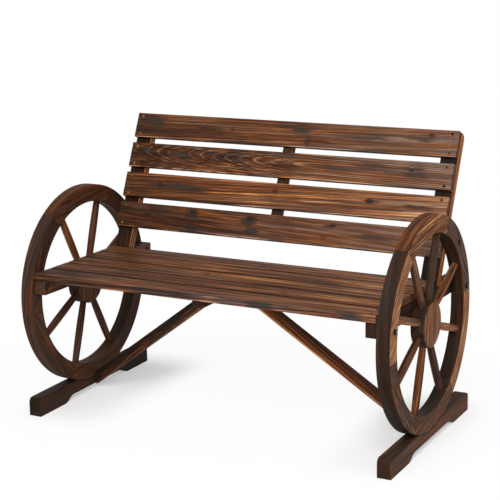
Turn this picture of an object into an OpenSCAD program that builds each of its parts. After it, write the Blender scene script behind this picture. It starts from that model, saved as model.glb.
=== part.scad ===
// Wagon wheel garden bench: a slatted seat and back held between two spoked wheels on runner skids.
// X runs along the bench, Y points from its front to its back and Z up, all in millimetres.
// The origin lies on the floor, under the middle of the bench.

/* [Wheels] */
// Outer diameter of each wheel
wheel_d = 586; // [520:2:640]
// Distance between the middles of the two wheels
wheel_spacing = 1082; // [900:2:1300]
// Thickness of the rim, along the bench
rim_t = 38; // [32:1:44]
// Width of the rim, from its tread to its inner edge
rim_w = 50; // [44:1:60]
// Curved segments that make up one rim
felloe_count = 6; // [4:1:6]
// Angle of the first joint between segments, from the level line at the back
felloe_turn = 6; // [3:0.5:7]
// Gap at each joint between segments
joint_gap = 0.2; // [0.1:0.1:0.6]
// Diameter of the dowel in each joint
dowel_d = 8; // [6:1:9]
// Length of the dowel in each joint
dowel_len = 50; // [30:2:60]

/* [Spokes and hubs] */
// Spokes in one wheel
spoke_count = 8; // [6:1:8]
// Angle of the first spoke, from the level line at the back
spoke_turn = 27; // [25:0.5:28]
// Diameter of a spoke at its ends
spoke_end_d = 19; // [14:0.5:20]
// Diameter of a spoke at its middle
spoke_mid_d = 22; // [20:0.5:28]
// Depth of a spoke's socket in the rim
rim_socket = 18; // [10:1:20]
// Depth of a spoke's socket in the hub
hub_socket = 20; // [10:1:24]
// Diameter of the hub
hub_d = 125; // [110:1:150]
// Length of the hub, along the bench
hub_len = 40; // [36:1:60]

/* [Skids] */
// Length of each skid
skid_len = 577; // [540:1:640]
// How far the skid's middle lies behind the wheel's centre
skid_shift = 5.5; // [-10:0.5:20]
// Height of the skid
skid_h = 54; // [48:1:70]
// Depth that the wheel is let into the skid
wheel_let = 14; // [8:1:18]
// Length of the front foot pad, on the floor
front_pad = 120; // [80:1:130]
// Length of the back foot pad, on the floor
back_pad = 112; // [80:1:130]
// Height of the scoop under the skid
scoop_h = 17; // [10:1:20]
// Length of the curve at each end of the scoop
scoop_run = 50; // [36:1:60]
// Radius of the skid's upper corners
skid_top_r = 14; // [6:1:20]
// Radius of the skid's lower corners
skid_foot_r = 4; // [2:0.5:8]

/* [Seat] */
// Height of the seat's top, over the wheels' centres
seat_h = 421; // [390:1:450]
// Angle at which the seat falls to the back
seat_fall = 1; // [0:0.5:4]
// Slats in the seat
seat_slat_count = 5; // [3:1:6]
// Width of a seat slat
seat_slat_w = 77.5; // [65:0.5:90]
// Thickness of a seat slat
seat_slat_t = 19.5; // [16:0.5:26]
// Gap between seat slats
seat_slat_gap = 5; // [3:0.5:12]
// Gap between a seat slat's end and the rim beside it
seat_end_gap = 4; // [1:0.5:8]
// Overhang of the front slat, past the rails' front ends
seat_overhang = 6; // [0:1:15]
// Height of a side rail
rail_h = 42; // [38:1:60]
// Thickness of a side rail
rail_t = 34; // [30:1:40]
// Length of a rail in front of its front bolt
rail_front_tail = 14; // [12:1:30]
// Length of a rail behind its back bolt
rail_back_tail = 20; // [14:1:80]
// Radius of a rail's lower front corner
rail_corner_r = 5; // [2.5:0.5:12]
// Height of the batten under the middle of the seat
seat_batten_h = 24; // [18:1:34]
// Distance by which the seat batten's ends stay inside the slats' overhang
seat_batten_short = 11; // [4:1:20]
// Width of the middle battens of the seat and the back
batten_w = 32; // [24:1:44]

/* [Back] */
// Angle at which the back leans, from upright
back_lean = 25; // [15:0.5:30]
// Gap between the last seat slat and the stiles
back_gap = 5; // [3:0.5:12]
// Slats in the back
back_slat_count = 4; // [3:1:5]
// Width of a back slat
back_slat_w = 76; // [60:0.5:90]
// Thickness of a back slat
back_slat_t = 18; // [16:0.5:26]
// Gap between back slats
back_slat_gap = 18; // [8:0.5:30]
// Distance up the lean from the rails to the lowest back slat
back_lift = 79; // [60:1:100]
// Gap between a back slat's end and the rim beside it
back_end_gap = 1; // [0.5:0.5:6]
// Width of a stile, along the bench
stile_w = 50; // [46:1:60]
// Depth of a stile, from its front to its back
stile_d = 28; // [26:1:40]
// Radius of a stile's upper back corner
stile_top_r = 17; // [6:1:20]
// Length by which a stile's tongue stays above the rail's lower edge
tongue_short = 2; // [0:0.5:8]
// Depth of the batten behind the middle of the back
back_batten_d = 20; // [16:1:28]
// Distance by which the back batten's ends stay inside the outer slats' edges
back_batten_short = 12; // [6:1:20]

/* [Braces] */
// Width of a brace, from its upper to its lower edge
brace_w = 32; // [26:1:44]
// Thickness of a brace
brace_t = 18; // [14:1:24]
// Height of a brace's middle at the skid
brace_foot_h = 33; // [30:1:38]
// Place of a brace's front face at the skid, behind the wheel's centre
brace_foot_y = 0; // [-15:1:15]
// Place of a brace's front face at the batten, in front of the wheel's centre
brace_head_y = 78; // [60:1:95]
// Height of a brace's lower edge over the batten's lower edge, where they meet
brace_step = 2; // [0:0.5:6]

/* [Fasteners] */
// Diameter of the bolts through the rims
bolt_d = 8; // [6:1:9]
// Width of the bolts' heads and nuts, across their flats
hex_w = 13; // [12:1:16]
// Thickness of a bolt's head
bolt_head_h = 5.5; // [4:0.5:8]
// Thickness of a nut
nut_h = 6.5; // [5:0.5:8]
// Length of a bolt past its nut
bolt_tip = 2; // [1:0.5:6]
// Diameter of a washer
washer_d = 20; // [18:1:24]
// Thickness of a washer
washer_t = 1.6; // [1:0.1:2.5]
// Depth of the round recess in a rail, for a nut and its washer
nut_recess = 11; // [9:0.5:13]
// Clearance round a washer in its recess
nut_recess_fit = 1; // [0.3:0.1:2]
// Diameter of the wood screws
screw_d = 4; // [3:0.5:5]
// Diameter of a wood screw's head
screw_head_d = 8; // [7:0.5:10]
// Height of a wood screw's head
screw_head_h = 2.2; // [1.5:0.1:3]
// Depth that a wood screw reaches into the piece behind
screw_bite = 9; // [6:0.5:9.5]
// Distance of the seat's screws from a slat's end
seat_screw_end = 20; // [14:1:24]
// Distance of the seat's screws from a slat's long edge
seat_screw_edge = 20; // [12:1:25]
// Distance of the back's screws from a slat's end
back_screw_end = 19; // [12:1:30]
// Distance of the back's screws from a slat's long edge
back_screw_edge = 11; // [9:0.5:20]
// Diameter of the long screws through the skids and at the stiles' feet
lag_d = 6; // [5:0.5:8]
// Distance of the skid's screws from the wheel's centre, to the front and to the back
skid_screw_y = 45; // [36:1:55]
// Depth that the skid's screws reach into the rim
skid_screw_bite = 22; // [14:1:30]
// Depth of the recess for a skid screw's head
skid_screw_recess = 7; // [6:0.5:9]
// Depth that the stile's foot screw reaches into the rail
foot_screw_bite = 24; // [14:1:26]
// Distance of a brace's upper screw from the batten
brace_screw_in = 12; // [10:1:16]
// Wood under the head of a brace's upper screw
brace_head_grip = 25; // [22:1:26]
// Wood under the head of a brace's lower screw
brace_foot_grip = 15; // [10:1:18]
// Height of a brace's lower screw
brace_foot_screw_h = 30; // [27:1:32]
// Depth that a brace's lower screw reaches into the skid
brace_foot_bite = 24; // [12:1:30]

/* [Fits and edges] */
// Clearance round a bolt in its hole
bolt_fit = 0.3; // [0.1:0.1:0.6]
// Clearance round screws, dowels, nuts and washers
screw_fit = 0.15; // [0.05:0.05:0.3]
// Clearance round a spoke in its socket
spoke_fit = 0.2; // [0.05:0.05:0.4]
// Gap left where one piece is fitted against another
seat_fit = 0.2; // [0.1:0.1:0.4]
// Radius of the boards' long edges
edge_r = 2; // [1:0.5:4]

/* [Hidden] */
$fn = 64;
SIDES = ["left", "right"];
corner_steps = 5;
curve_steps = 8;
belly_steps = 12;
// Length added to a cutting shape so that it passes the face that it cuts
past = 1;
// Length of a cutting shape that has to pass the whole bench
far = 2000;

// Places of the wheels
wheel_r = wheel_d / 2;
wheel_x = wheel_spacing / 2;
wheel_z = skid_h - wheel_let + wheel_r;
rim_in_x = wheel_x - rim_t / 2;
rim_out_x = wheel_x + rim_t / 2;
rim_in_r = wheel_r - rim_w;
bolt_circle_r = wheel_r - rim_w / 2;
dowel_r = (bolt_circle_r + bolt_d / 2 + wheel_r) / 2;
felloe_step = 360 / felloe_count;
felloe_half_gap = asin(joint_gap / 2 / bolt_circle_r);
spoke_step = 360 / spoke_count;
skid_front = skid_shift - skid_len / 2;
skid_back = skid_shift + skid_len / 2;

// Turns a point [y, z] back about the X axis, as a lean or fall does
function turn(p, angle) = [p[0] * cos(angle) + p[1] * sin(angle), p[1] * cos(angle) - p[0] * sin(angle)];
// Half the chord of the bolt circle at a distance from the wheel's centre
function half_chord(distance) = sqrt(bolt_circle_r * bolt_circle_r - distance * distance);

// The seat's own frame: its top is level zero and its Y starts over the wheels' centres
function seat_point(p) = [0, seat_h] + turn(p, seat_fall);
wheel_in_seat = turn([0, wheel_z - seat_h], -seat_fall);
rail_top = -seat_slat_t;
rail_bottom = rail_top - rail_h;
rail_mid = rail_top - rail_h / 2;
rail_half_chord = half_chord(rail_mid - wheel_in_seat[1]);
front_bolt = [wheel_in_seat[0] - rail_half_chord, rail_mid];
back_bolt = [wheel_in_seat[0] + rail_half_chord, rail_mid];
rail_front = front_bolt[0] - rail_front_tail;
rail_back = back_bolt[0] + rail_back_tail;
rail_in_x = rim_in_x - rail_t;
seat_front = rail_front - seat_overhang;
seat_pitch = seat_slat_w + seat_slat_gap;
seat_back = seat_front + seat_slat_count * seat_pitch - seat_slat_gap;
seat_len = 2 * (rim_in_x - seat_end_gap);
seat_screw_x = seat_len / 2 - seat_screw_end;
seat_screw_y = seat_slat_w / 2 - seat_screw_edge;

// The back's own frame: Y starts at the stiles' front faces and Z at the rails' tops
back_origin = seat_point([seat_back + back_gap, rail_top]);
function back_point(p) = back_origin + turn(p, back_lean);
wheel_in_back = turn([0, wheel_z] - back_origin, -back_lean);
stile_mid = stile_d / 2;
stile_bolt = [stile_mid, wheel_in_back[1] + half_chord(stile_mid - wheel_in_back[0])];
back_pitch = back_slat_w + back_slat_gap;
back_top = back_lift + back_slat_count * back_pitch - back_slat_gap;
back_len = 2 * (rim_in_x - back_end_gap);
back_screw_x = back_len / 2 - back_screw_end;
back_screw_z = back_slat_w / 2 - back_screw_edge;
stile_in_x = rim_in_x - stile_w;
// The foot screw crosses the middle of the stile at the middle of the rail
foot_lean = back_lean - seat_fall;
foot_screw = [seat_back + back_gap + stile_mid / cos(foot_lean) - rail_h / 2 * tan(foot_lean), rail_mid];

// Bolts of one wheel, as [face that the nut's washer rests on, place in Y and Z]
rail_bolts = [
    [rail_in_x + nut_recess, seat_point(front_bolt)],
    [rail_in_x + nut_recess, seat_point(back_bolt)]
];
frame_bolts = concat(rail_bolts, [[stile_in_x, back_point(stile_bolt)]]);

// Route of a brace, from the skid up to the batten's side
batten_bottom = rail_top - seat_batten_h;
brace_head_x = batten_w / 2 + seat_fit;
brace_foot_x = rim_in_x - seat_fit;
brace_rise = seat_point([-brace_head_y, batten_bottom])[1] + brace_step - brace_foot_h;
brace_plan = atan2(brace_head_y + brace_foot_y, brace_foot_x - brace_head_x);
brace_reach = norm([brace_foot_x - brace_head_x, brace_head_y + brace_foot_y]);
brace_slope = atan2(brace_rise, brace_reach) + asin(brace_w / 2 / norm([brace_rise, brace_reach]));
brace_screw_x = brace_head_x + brace_screw_in;
function brace_mid_y(x) =
    brace_foot_y - (brace_foot_x - x) * tan(brace_plan) + brace_t / 2 / cos(brace_plan);

// The origin lies halfway between the foremost and the rearmost point
stile_reach = back_point([stile_d - stile_top_r, back_top - stile_top_r])[0] + stile_top_r;
reach_back = max(stile_reach, seat_point([rail_back, rail_top])[0], skid_back, wheel_r);
reach_front = max(wheel_r, -skid_front, -seat_point([seat_front, 0])[0]);
mid_y = (reach_back - reach_front) / 2;

// Colours of the scorched wood and the fittings
rim_color = "#7a5038";
spoke_color = "#5d3c2a";
hub_color = "#8a5a40";
skid_color = "#4a3024";
slat_color = "#6e4630";
rail_color = "#5a3a28";
brace_color = "#83492a";
dowel_color = "#c79a66";
steel_color = "#3c3c3e";
zinc_color = "#b0a888";

// Points of an arc about a centre
function arc(centre, r, from, to, steps = curve_steps) = [
    for (i = [0:steps])
        let (angle = from + (to - from) * i / steps)
            centre + r * [cos(angle), sin(angle)]
];

// Outline of a box with a radius for each corner, from the lower left one on
function rounded_box(x0, y0, x1, y1, r) = concat(
    arc([x0 + r[0], y0 + r[0]], r[0], 180, 270, corner_steps),
    arc([x1 - r[1], y0 + r[1]], r[1], 270, 360, corner_steps),
    arc([x1 - r[2], y1 - r[2]], r[2], 0, 90, corner_steps),
    arc([x0 + r[3], y1 - r[3]], r[3], 90, 180, corner_steps)
);

function side_sign(side) = side == "left" ? -1 : 1;

// Frames in which the pieces are placed
module in_bench() {
    translate([0, -mid_y, 0]) children();
}
module on_side(side) {
    if (side == "left") mirror([1, 0, 0]) children();
    else children();
}
module on_seat() {
    translate([0, 0, seat_h]) rotate([-seat_fall, 0, 0]) children();
}
module on_back() {
    translate([0, back_origin[0], back_origin[1]]) rotate([-back_lean, 0, 0]) children();
}
// The wheel's own frame: its x points to the back, its y up and its z along the bench
module on_wheel(side) {
    translate([side_sign(side) * wheel_x, 0, wheel_z]) rotate([90, 0, 90]) children();
}

// A cylinder along X that starts at x0
module rod_x(x0, d, length) {
    translate([x0, 0, 0]) rotate([0, 90, 0]) cylinder(d = d, h = length);
}
// An outline in Y and Z, drawn along X from x0
module side_board(points, x0, width) {
    translate([x0, 0, 0]) rotate([90, 0, 90]) linear_extrude(width) polygon(points);
}
// A board along X with eased long edges, centred on the origin
module board_x(length, width, thickness) {
    edges = [for (i = [1:4]) edge_r];
    outline = rounded_box(-width / 2, -thickness / 2, width / 2, thickness / 2, edges);
    side_board(outline, -length / 2, length);
}
// A countersunk wood screw, pointing down from its head's face at level zero
module wood_screw(length) {
    translate([0, 0, -screw_head_h]) cylinder(d1 = screw_d, d2 = screw_head_d, h = screw_head_h);
    translate([0, 0, -length]) cylinder(d = screw_d, h = length);
}
// The hole for a wood screw, with its countersink
module wood_screw_hole(length) {
    hole_d = screw_d + 2 * screw_fit;
    head_d = screw_head_d + 2 * screw_fit;
    mouth_d = head_d + (head_d - hole_d) * past / screw_head_h;
    translate([0, 0, -screw_head_h]) cylinder(d1 = hole_d, d2 = mouth_d, h = screw_head_h + past);
    translate([0, 0, -length - screw_fit]) cylinder(d = hole_d, h = length + past);
}
// A screw with a flat head, pointing up from its head's seat at level zero
module pan_screw(d, head_d, head_h, length) {
    translate([0, 0, -head_h]) cylinder(d = head_d, h = head_h);
    cylinder(d = d, h = length);
}
// The hole for a flat headed screw, with a pocket that is open below
module pan_screw_hole(d, head_d, pocket, length) {
    translate([0, 0, -pocket]) cylinder(d = head_d + 4 * screw_fit, h = pocket);
    translate([0, 0, -past]) cylinder(d = d + 2 * screw_fit, h = past + length + screw_fit);
}
// A hexagonal prism
module hexagon(height) {
    cylinder(d = hex_w / cos(30), h = height, $fn = 6);
}

// Places of the fasteners, each with the pieces or holes that are passed to it

// The axis of one bolt, along X
module at_bolt(bolt) {
    translate([0, bolt[1][0], bolt[1][1]]) children();
}
// The holes for the bolts of one side, through everything from the rails outwards
module frame_bolt_holes() {
    hole_d = bolt_d + 2 * bolt_fit;
    for (bolt = frame_bolts)
        at_bolt(bolt) rod_x(stile_in_x - past, hole_d, stile_w + rim_t + 2 * past);
}
// The recesses in a rail's inner face, round its nuts
module nut_recesses() {
    for (bolt = rail_bolts)
        at_bolt(bolt) rod_x(rail_in_x - past, washer_d + 2 * nut_recess_fit, nut_recess + past);
}
// The screw at the stile's foot, driven outwards from the tongue's inner face
module at_foot_screw() {
    on_seat() translate([stile_in_x, foot_screw[0], foot_screw[1]]) rotate([0, 90, 0]) children();
}
foot_screw_len = stile_w - rail_t + foot_screw_bite;
lag_head_d = hex_w / cos(30);
module foot_screw_hole() {
    at_foot_screw() translate([0, 0, -past])
        cylinder(d = lag_d + 2 * screw_fit, h = foot_screw_len + past + screw_fit);
}
// The two screws of a skid, from the recesses in its scoop up into the rim
module at_skid_screws() {
    for (way = [-1, 1])
        translate([wheel_x, way * skid_screw_y, scoop_h + skid_screw_recess]) children();
}
skid_screw_len = wheel_z - sqrt(wheel_r * wheel_r - skid_screw_y * skid_screw_y)
    - scoop_h - skid_screw_recess + skid_screw_bite;
module skid_screw_holes() {
    at_skid_screws() pan_screw_hole(lag_d, lag_head_d, skid_screw_recess + past, skid_screw_len);
}
// The upper screw of a brace, up into the seat slat above it
module at_brace_head_screw() {
    on_seat() translate([brace_screw_x, brace_mid_y(brace_screw_x), rail_top - brace_head_grip]) children();
}
brace_head_screw_len = brace_head_grip + screw_bite;
// The lower screw of a brace, outwards into the skid
module at_brace_foot_screw() {
    translate([rim_in_x - brace_foot_grip, brace_mid_y(brace_foot_x - brace_foot_grip), brace_foot_screw_h])
        rotate([0, 90, 0]) children();
}
brace_foot_screw_len = brace_foot_grip + brace_foot_bite;
module brace_screw_holes() {
    at_brace_head_screw() pan_screw_hole(screw_d, screw_head_d, brace_w, brace_head_screw_len);
    at_brace_foot_screw() pan_screw_hole(screw_d, screw_head_d, brace_w, brace_foot_screw_len);
}
// The centre of a seat slat or a back slat, on its front or upper face
module at_seat_slat(i) {
    on_seat() translate([0, seat_front + (i - 1) * seat_pitch + seat_slat_w / 2, 0]) children();
}
// Back slats are counted from the top, as they are seen
module at_back_slat(i) {
    on_back() translate([0, -back_slat_t, back_top - (i - 1) * back_pitch - back_slat_w / 2]) children();
}
module at_seat_screws() {
    for (x = [-seat_screw_x, seat_screw_x], y = [-seat_screw_y, seat_screw_y])
        translate([x, y, 0]) children();
}
module at_back_screws() {
    for (x = [-back_screw_x, back_screw_x], z = [-back_screw_z, back_screw_z])
        translate([x, 0, z]) rotate([90, 0, 0]) children();
}
seat_screw_len = seat_slat_t + screw_bite;
back_screw_len = back_slat_t + screw_bite;
seat_batten_screw_len = seat_batten_h + screw_bite;
back_batten_screw_len = back_batten_d + screw_bite;
module seat_slat_screws() {
    for (i = [1:seat_slat_count])
        at_seat_slat(i) at_seat_screws() wood_screw(seat_screw_len);
}
module seat_slat_screw_holes() {
    for (i = [1:seat_slat_count])
        at_seat_slat(i) at_seat_screws() wood_screw_hole(seat_screw_len);
}
module back_slat_screws() {
    for (i = [1:back_slat_count])
        at_back_slat(i) at_back_screws() wood_screw(back_screw_len);
}
module back_slat_screw_holes() {
    for (i = [1:back_slat_count])
        at_back_slat(i) at_back_screws() wood_screw_hole(back_screw_len);
}
// Under a seat slat's middle, pointing down out of the batten
module at_seat_batten_screw(i) {
    at_seat_slat(i) translate([0, 0, batten_bottom]) rotate([180, 0, 0]) children();
}
// Behind a back slat's middle, pointing back out of the batten
module at_back_batten_screw(i) {
    at_back_slat(i) translate([0, back_slat_t + back_batten_d, 0]) rotate([-90, 0, 0]) children();
}

// Wheels

module dowel(i) {
    rotate([0, 0, felloe_turn + i * felloe_step]) translate([dowel_r, 0, 0]) rotate([90, 0, 0])
        children();
}
// One curved segment of a rim
module felloe(side, i) {
    from = felloe_turn + (i - 1) * felloe_step + felloe_half_gap;
    span = felloe_step - 2 * felloe_half_gap;
    color(rim_color) difference() {
        on_wheel(side) rotate([0, 0, from]) rotate_extrude(angle = span, $fn = 180)
            translate([rim_in_r, -rim_t / 2]) square([rim_w, rim_t]);
        on_wheel(side) for (k = [i - 1, i])
            dowel(k) cylinder(d = dowel_d + 2 * screw_fit, h = dowel_len + 2 * screw_fit, center = true);
        on_wheel(side) for (k = [0:spoke_count - 1])
            rotate([0, 0, spoke_turn + k * spoke_step]) rotate([0, 90, 0])
                cylinder(d = spoke_end_d + 2 * spoke_fit, h = rim_in_r + rim_socket);
        on_side(side) frame_bolt_holes();
        on_side(side) skid_screw_holes();
    }
}
// Half the outline of a spoke: straight in its sockets and swollen between them
spoke_from = hub_d / 2 - hub_socket + spoke_fit;
spoke_to = rim_in_r + rim_socket - spoke_fit;
spoke_belly_from = hub_d / 2 + past;
spoke_belly_to = rim_in_r - past;
spoke_outline = concat(
    [[0, spoke_from], [spoke_end_d / 2, spoke_from]],
    [for (i = [0:belly_steps])
        [(spoke_end_d + (spoke_mid_d - spoke_end_d) * sin(180 * i / belly_steps)) / 2,
         spoke_belly_from + (spoke_belly_to - spoke_belly_from) * i / belly_steps]],
    [[spoke_end_d / 2, spoke_to], [0, spoke_to]]
);
module spoke(side, i) {
    color(spoke_color) on_wheel(side)
        rotate([0, 0, spoke_turn + (i - 1) * spoke_step]) rotate([0, 90, 0])
            rotate_extrude() polygon(spoke_outline);
}
// The hub's inner face is level with the rim's, so that it clears the rail that passes it
module hub(side) {
    color(hub_color) on_wheel(side) difference() {
        translate([0, 0, side_sign(side) * (hub_len - rim_t) / 2])
            cylinder(d = hub_d, h = hub_len, center = true, $fn = 128);
        for (k = [0:spoke_count - 1])
            rotate([0, 0, spoke_turn + k * spoke_step]) rotate([0, 90, 0])
                translate([0, 0, hub_d / 2 - hub_socket])
                    cylinder(d = spoke_end_d + 2 * spoke_fit, h = hub_socket + past);
    }
}
module felloe_dowels() {
    color(dowel_color) for (side = SIDES) on_wheel(side)
        for (k = [0:felloe_count - 1])
            dowel(k) cylinder(d = dowel_d, h = dowel_len, center = true);
}

// Skids

scoop_r = (scoop_run * scoop_run / 4 + scoop_h * scoop_h / 4) / scoop_h;
scoop_angle = asin(scoop_run / 2 / scoop_r);
scoop_front = skid_front + front_pad;
scoop_back = skid_back - back_pad;
// From the front pad along the floor, over the scoop, and back along the top
skid_outline = concat(
    arc([skid_front + skid_foot_r, skid_foot_r], skid_foot_r, 180, 270, corner_steps),
    arc([scoop_front, scoop_r], scoop_r, 270, 270 + scoop_angle),
    arc([scoop_front + scoop_run, scoop_h - scoop_r], scoop_r, 90 + scoop_angle, 90),
    arc([scoop_back - scoop_run, scoop_h - scoop_r], scoop_r, 90, 90 - scoop_angle),
    arc([scoop_back, scoop_r], scoop_r, 270 - scoop_angle, 270),
    arc([skid_back - skid_foot_r, skid_foot_r], skid_foot_r, 270, 360, corner_steps),
    arc([skid_back - skid_top_r, skid_h - skid_top_r], skid_top_r, 0, 90, corner_steps),
    arc([skid_front + skid_top_r, skid_h - skid_top_r], skid_top_r, 90, 180, corner_steps)
);
module skid(side) {
    color(skid_color) on_side(side) difference() {
        side_board(skid_outline, rim_in_x, rim_t);
        translate([0, 0, wheel_z]) rotate([0, 90, 0]) cylinder(r = wheel_r + seat_fit, h = far, $fn = 180);
        skid_screw_holes();
        brace_screw_holes();
    }
}

// Seat

module seat_rail(side) {
    corners = [rail_corner_r, edge_r, edge_r, edge_r];
    outline = rounded_box(rail_front, rail_bottom, rail_back, rail_top, corners);
    color(rail_color) on_side(side) difference() {
        on_seat() side_board(outline, rail_in_x, rail_t);
        frame_bolt_holes();
        nut_recesses();
        foot_screw_hole();
        seat_slat_screw_holes();
    }
}
module seat_batten() {
    length = seat_back - seat_front - 2 * (seat_overhang + seat_batten_short);
    color(rail_color) difference() {
        on_seat() translate([0, (seat_front + seat_back) / 2, (rail_top + batten_bottom) / 2])
            rotate([0, 0, 90]) board_x(length, batten_w, seat_batten_h);
        for (i = [1:seat_slat_count])
            at_seat_batten_screw(i) wood_screw_hole(seat_batten_screw_len);
    }
}
module seat_slat(i) {
    color(slat_color) difference() {
        at_seat_slat(i) translate([0, 0, -seat_slat_t / 2]) board_x(seat_len, seat_slat_w, seat_slat_t);
        at_seat_slat(i) at_seat_screws() wood_screw_hole(seat_screw_len);
        at_seat_batten_screw(i) wood_screw_hole(seat_batten_screw_len);
        for (side = SIDES)
            on_side(side) brace_screw_holes();
    }
}

// Back

// The space that a stile may fill: above the rail, and beside its inner face for the tongue
module stile_space() {
    on_seat() translate([stile_in_x, -far / 2, rail_top]) cube([stile_w, far, far]);
    on_seat() translate([stile_in_x, -far / 2, rail_bottom + tongue_short])
        cube([stile_w - rail_t - seat_fit, far, far]);
}
module back_stile(side) {
    outline = rounded_box(0, -back_top, stile_d, back_top, [edge_r, edge_r, stile_top_r, edge_r]);
    color(slat_color) on_side(side) difference() {
        intersection() {
            on_back() side_board(outline, stile_in_x, stile_w);
            stile_space();
        }
        frame_bolt_holes();
        foot_screw_hole();
        back_slat_screw_holes();
    }
}
module back_slat(i) {
    color(slat_color) difference() {
        at_back_slat(i) translate([0, back_slat_t / 2, 0]) rotate([90, 0, 0])
            board_x(back_len, back_slat_w, back_slat_t);
        at_back_slat(i) at_back_screws() wood_screw_hole(back_screw_len);
        at_back_batten_screw(i) wood_screw_hole(back_batten_screw_len);
    }
}
module back_batten() {
    length = back_top - back_lift - 2 * back_batten_short;
    color(rail_color) difference() {
        on_back() translate([0, back_batten_d / 2, (back_lift + back_top) / 2])
            rotate([0, 90, 0]) board_x(length, back_batten_d, batten_w);
        for (i = [1:back_slat_count])
            at_back_batten_screw(i) wood_screw_hole(back_batten_screw_len);
    }
}

// Braces

// The space that a brace may fill: from the batten's side to the rim and below the slats
module brace_space() {
    on_seat() translate([brace_head_x, -far / 2, rail_top - seat_fit - far])
        cube([brace_foot_x - brace_head_x, far, far]);
}
module brace(side) {
    spare = 2 * brace_w;
    color(brace_color) on_side(side) difference() {
        intersection() {
            translate([brace_foot_x, brace_foot_y, brace_foot_h])
                rotate([0, 0, 180 + brace_plan]) rotate([0, -brace_slope, 0])
                    translate([brace_reach / cos(brace_slope) / 2, -brace_t / 2, 0])
                        board_x(brace_reach / cos(brace_slope) + 2 * spare, brace_t, brace_w);
            brace_space();
        }
        brace_screw_holes();
    }
}

// Fasteners

module washer() {
    difference() {
        cylinder(d = washer_d, h = washer_t);
        translate([0, 0, -past]) cylinder(d = bolt_d + 2 * screw_fit, h = washer_t + 2 * past);
    }
}
module nut() {
    difference() {
        hexagon(nut_h);
        translate([0, 0, -past]) cylinder(d = bolt_d + 2 * screw_fit, h = nut_h + 2 * past);
    }
}
// Each bolt runs from its head outside the rim to its nut inside the frame
module bolt(inner_x) {
    length = rim_out_x - inner_x + washer_t + nut_h + bolt_tip;
    translate([rim_out_x, 0, 0]) rotate([0, 90, 0]) {
        hexagon(bolt_head_h);
        translate([0, 0, -length]) cylinder(d = bolt_d, h = length);
    }
}
module frame_bolts() {
    color(steel_color) for (side = SIDES, b = frame_bolts)
        on_side(side) at_bolt(b) bolt(b[0]);
}
module frame_washers() {
    color(steel_color) for (side = SIDES, b = frame_bolts)
        on_side(side) at_bolt(b) translate([b[0] - washer_t, 0, 0]) rotate([0, 90, 0]) washer();
}
module frame_nuts() {
    color(steel_color) for (side = SIDES, b = frame_bolts)
        on_side(side) at_bolt(b) translate([b[0] - washer_t - nut_h, 0, 0]) rotate([0, 90, 0]) nut();
}
module foot_screws() {
    color(steel_color) for (side = SIDES) on_side(side) at_foot_screw() {
        translate([0, 0, -bolt_head_h]) hexagon(bolt_head_h);
        cylinder(d = lag_d, h = foot_screw_len);
    }
}
module skid_screws() {
    color(steel_color) for (side = SIDES)
        on_side(side) at_skid_screws() pan_screw(lag_d, lag_head_d, bolt_head_h, skid_screw_len);
}
module brace_screws() {
    color(zinc_color) for (side = SIDES) on_side(side) {
        at_brace_head_screw() pan_screw(screw_d, screw_head_d, screw_head_h, brace_head_screw_len);
        at_brace_foot_screw() pan_screw(screw_d, screw_head_d, screw_head_h, brace_foot_screw_len);
    }
}
module batten_screws() {
    color(zinc_color) {
        for (i = [1:seat_slat_count])
            at_seat_batten_screw(i) wood_screw(seat_batten_screw_len);
        for (i = [1:back_slat_count])
            at_back_batten_screw(i) wood_screw(back_batten_screw_len);
    }
}
module seat_screws() {
    color(zinc_color) seat_slat_screws();
}
module back_screws() {
    color(zinc_color) back_slat_screws();
}

for (side = SIDES) {
    for (i = [1:felloe_count])
        in_bench() felloe(side, i);
    for (i = [1:spoke_count])
        in_bench() spoke(side, i);
    in_bench() hub(side);
    in_bench() skid(side);
    in_bench() seat_rail(side);
    in_bench() back_stile(side);
    in_bench() brace(side);
}
for (i = [1:seat_slat_count])
    in_bench() seat_slat(i);
for (i = [1:back_slat_count])
    in_bench() back_slat(i);
in_bench() seat_batten();
in_bench() back_batten();
in_bench() felloe_dowels();
in_bench() frame_bolts();
in_bench() frame_washers();
in_bench() frame_nuts();
in_bench() foot_screws();
in_bench() skid_screws();
in_bench() brace_screws();
in_bench() batten_screws();
in_bench() seat_screws();
in_bench() back_screws();
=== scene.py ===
"""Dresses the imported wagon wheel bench: scorched softwood boards, wheels, fittings and a studio stage."""

import math
import random

import bmesh
import bpy
import numpy as np
from mathutils import Matrix, Quaternion, Vector


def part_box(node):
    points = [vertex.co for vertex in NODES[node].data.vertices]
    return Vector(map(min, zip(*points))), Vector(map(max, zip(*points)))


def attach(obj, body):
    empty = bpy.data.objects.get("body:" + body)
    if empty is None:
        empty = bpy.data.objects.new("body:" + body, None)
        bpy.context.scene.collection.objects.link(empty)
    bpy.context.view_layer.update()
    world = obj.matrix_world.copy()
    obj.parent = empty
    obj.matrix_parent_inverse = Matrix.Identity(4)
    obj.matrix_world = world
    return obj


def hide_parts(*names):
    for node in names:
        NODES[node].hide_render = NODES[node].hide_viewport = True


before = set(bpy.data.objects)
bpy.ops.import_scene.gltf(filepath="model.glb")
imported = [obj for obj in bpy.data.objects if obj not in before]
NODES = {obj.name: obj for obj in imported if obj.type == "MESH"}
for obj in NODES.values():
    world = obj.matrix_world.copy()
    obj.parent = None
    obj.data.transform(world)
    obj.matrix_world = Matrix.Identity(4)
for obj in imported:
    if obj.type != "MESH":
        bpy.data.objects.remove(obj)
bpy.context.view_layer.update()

bl_info = {
    "name": "Wagon Wheel Bench",
    "version": (1, 0, 0),
    "blender": (4, 5, 0),
    "location": "3D View > Sidebar > Bench",
    "description": "Dresses the packed model of a scorched wooden bench held between two wagon wheels",
    "category": "Object",
}

SIDES = {"left": -1, "right": 1}

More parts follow.
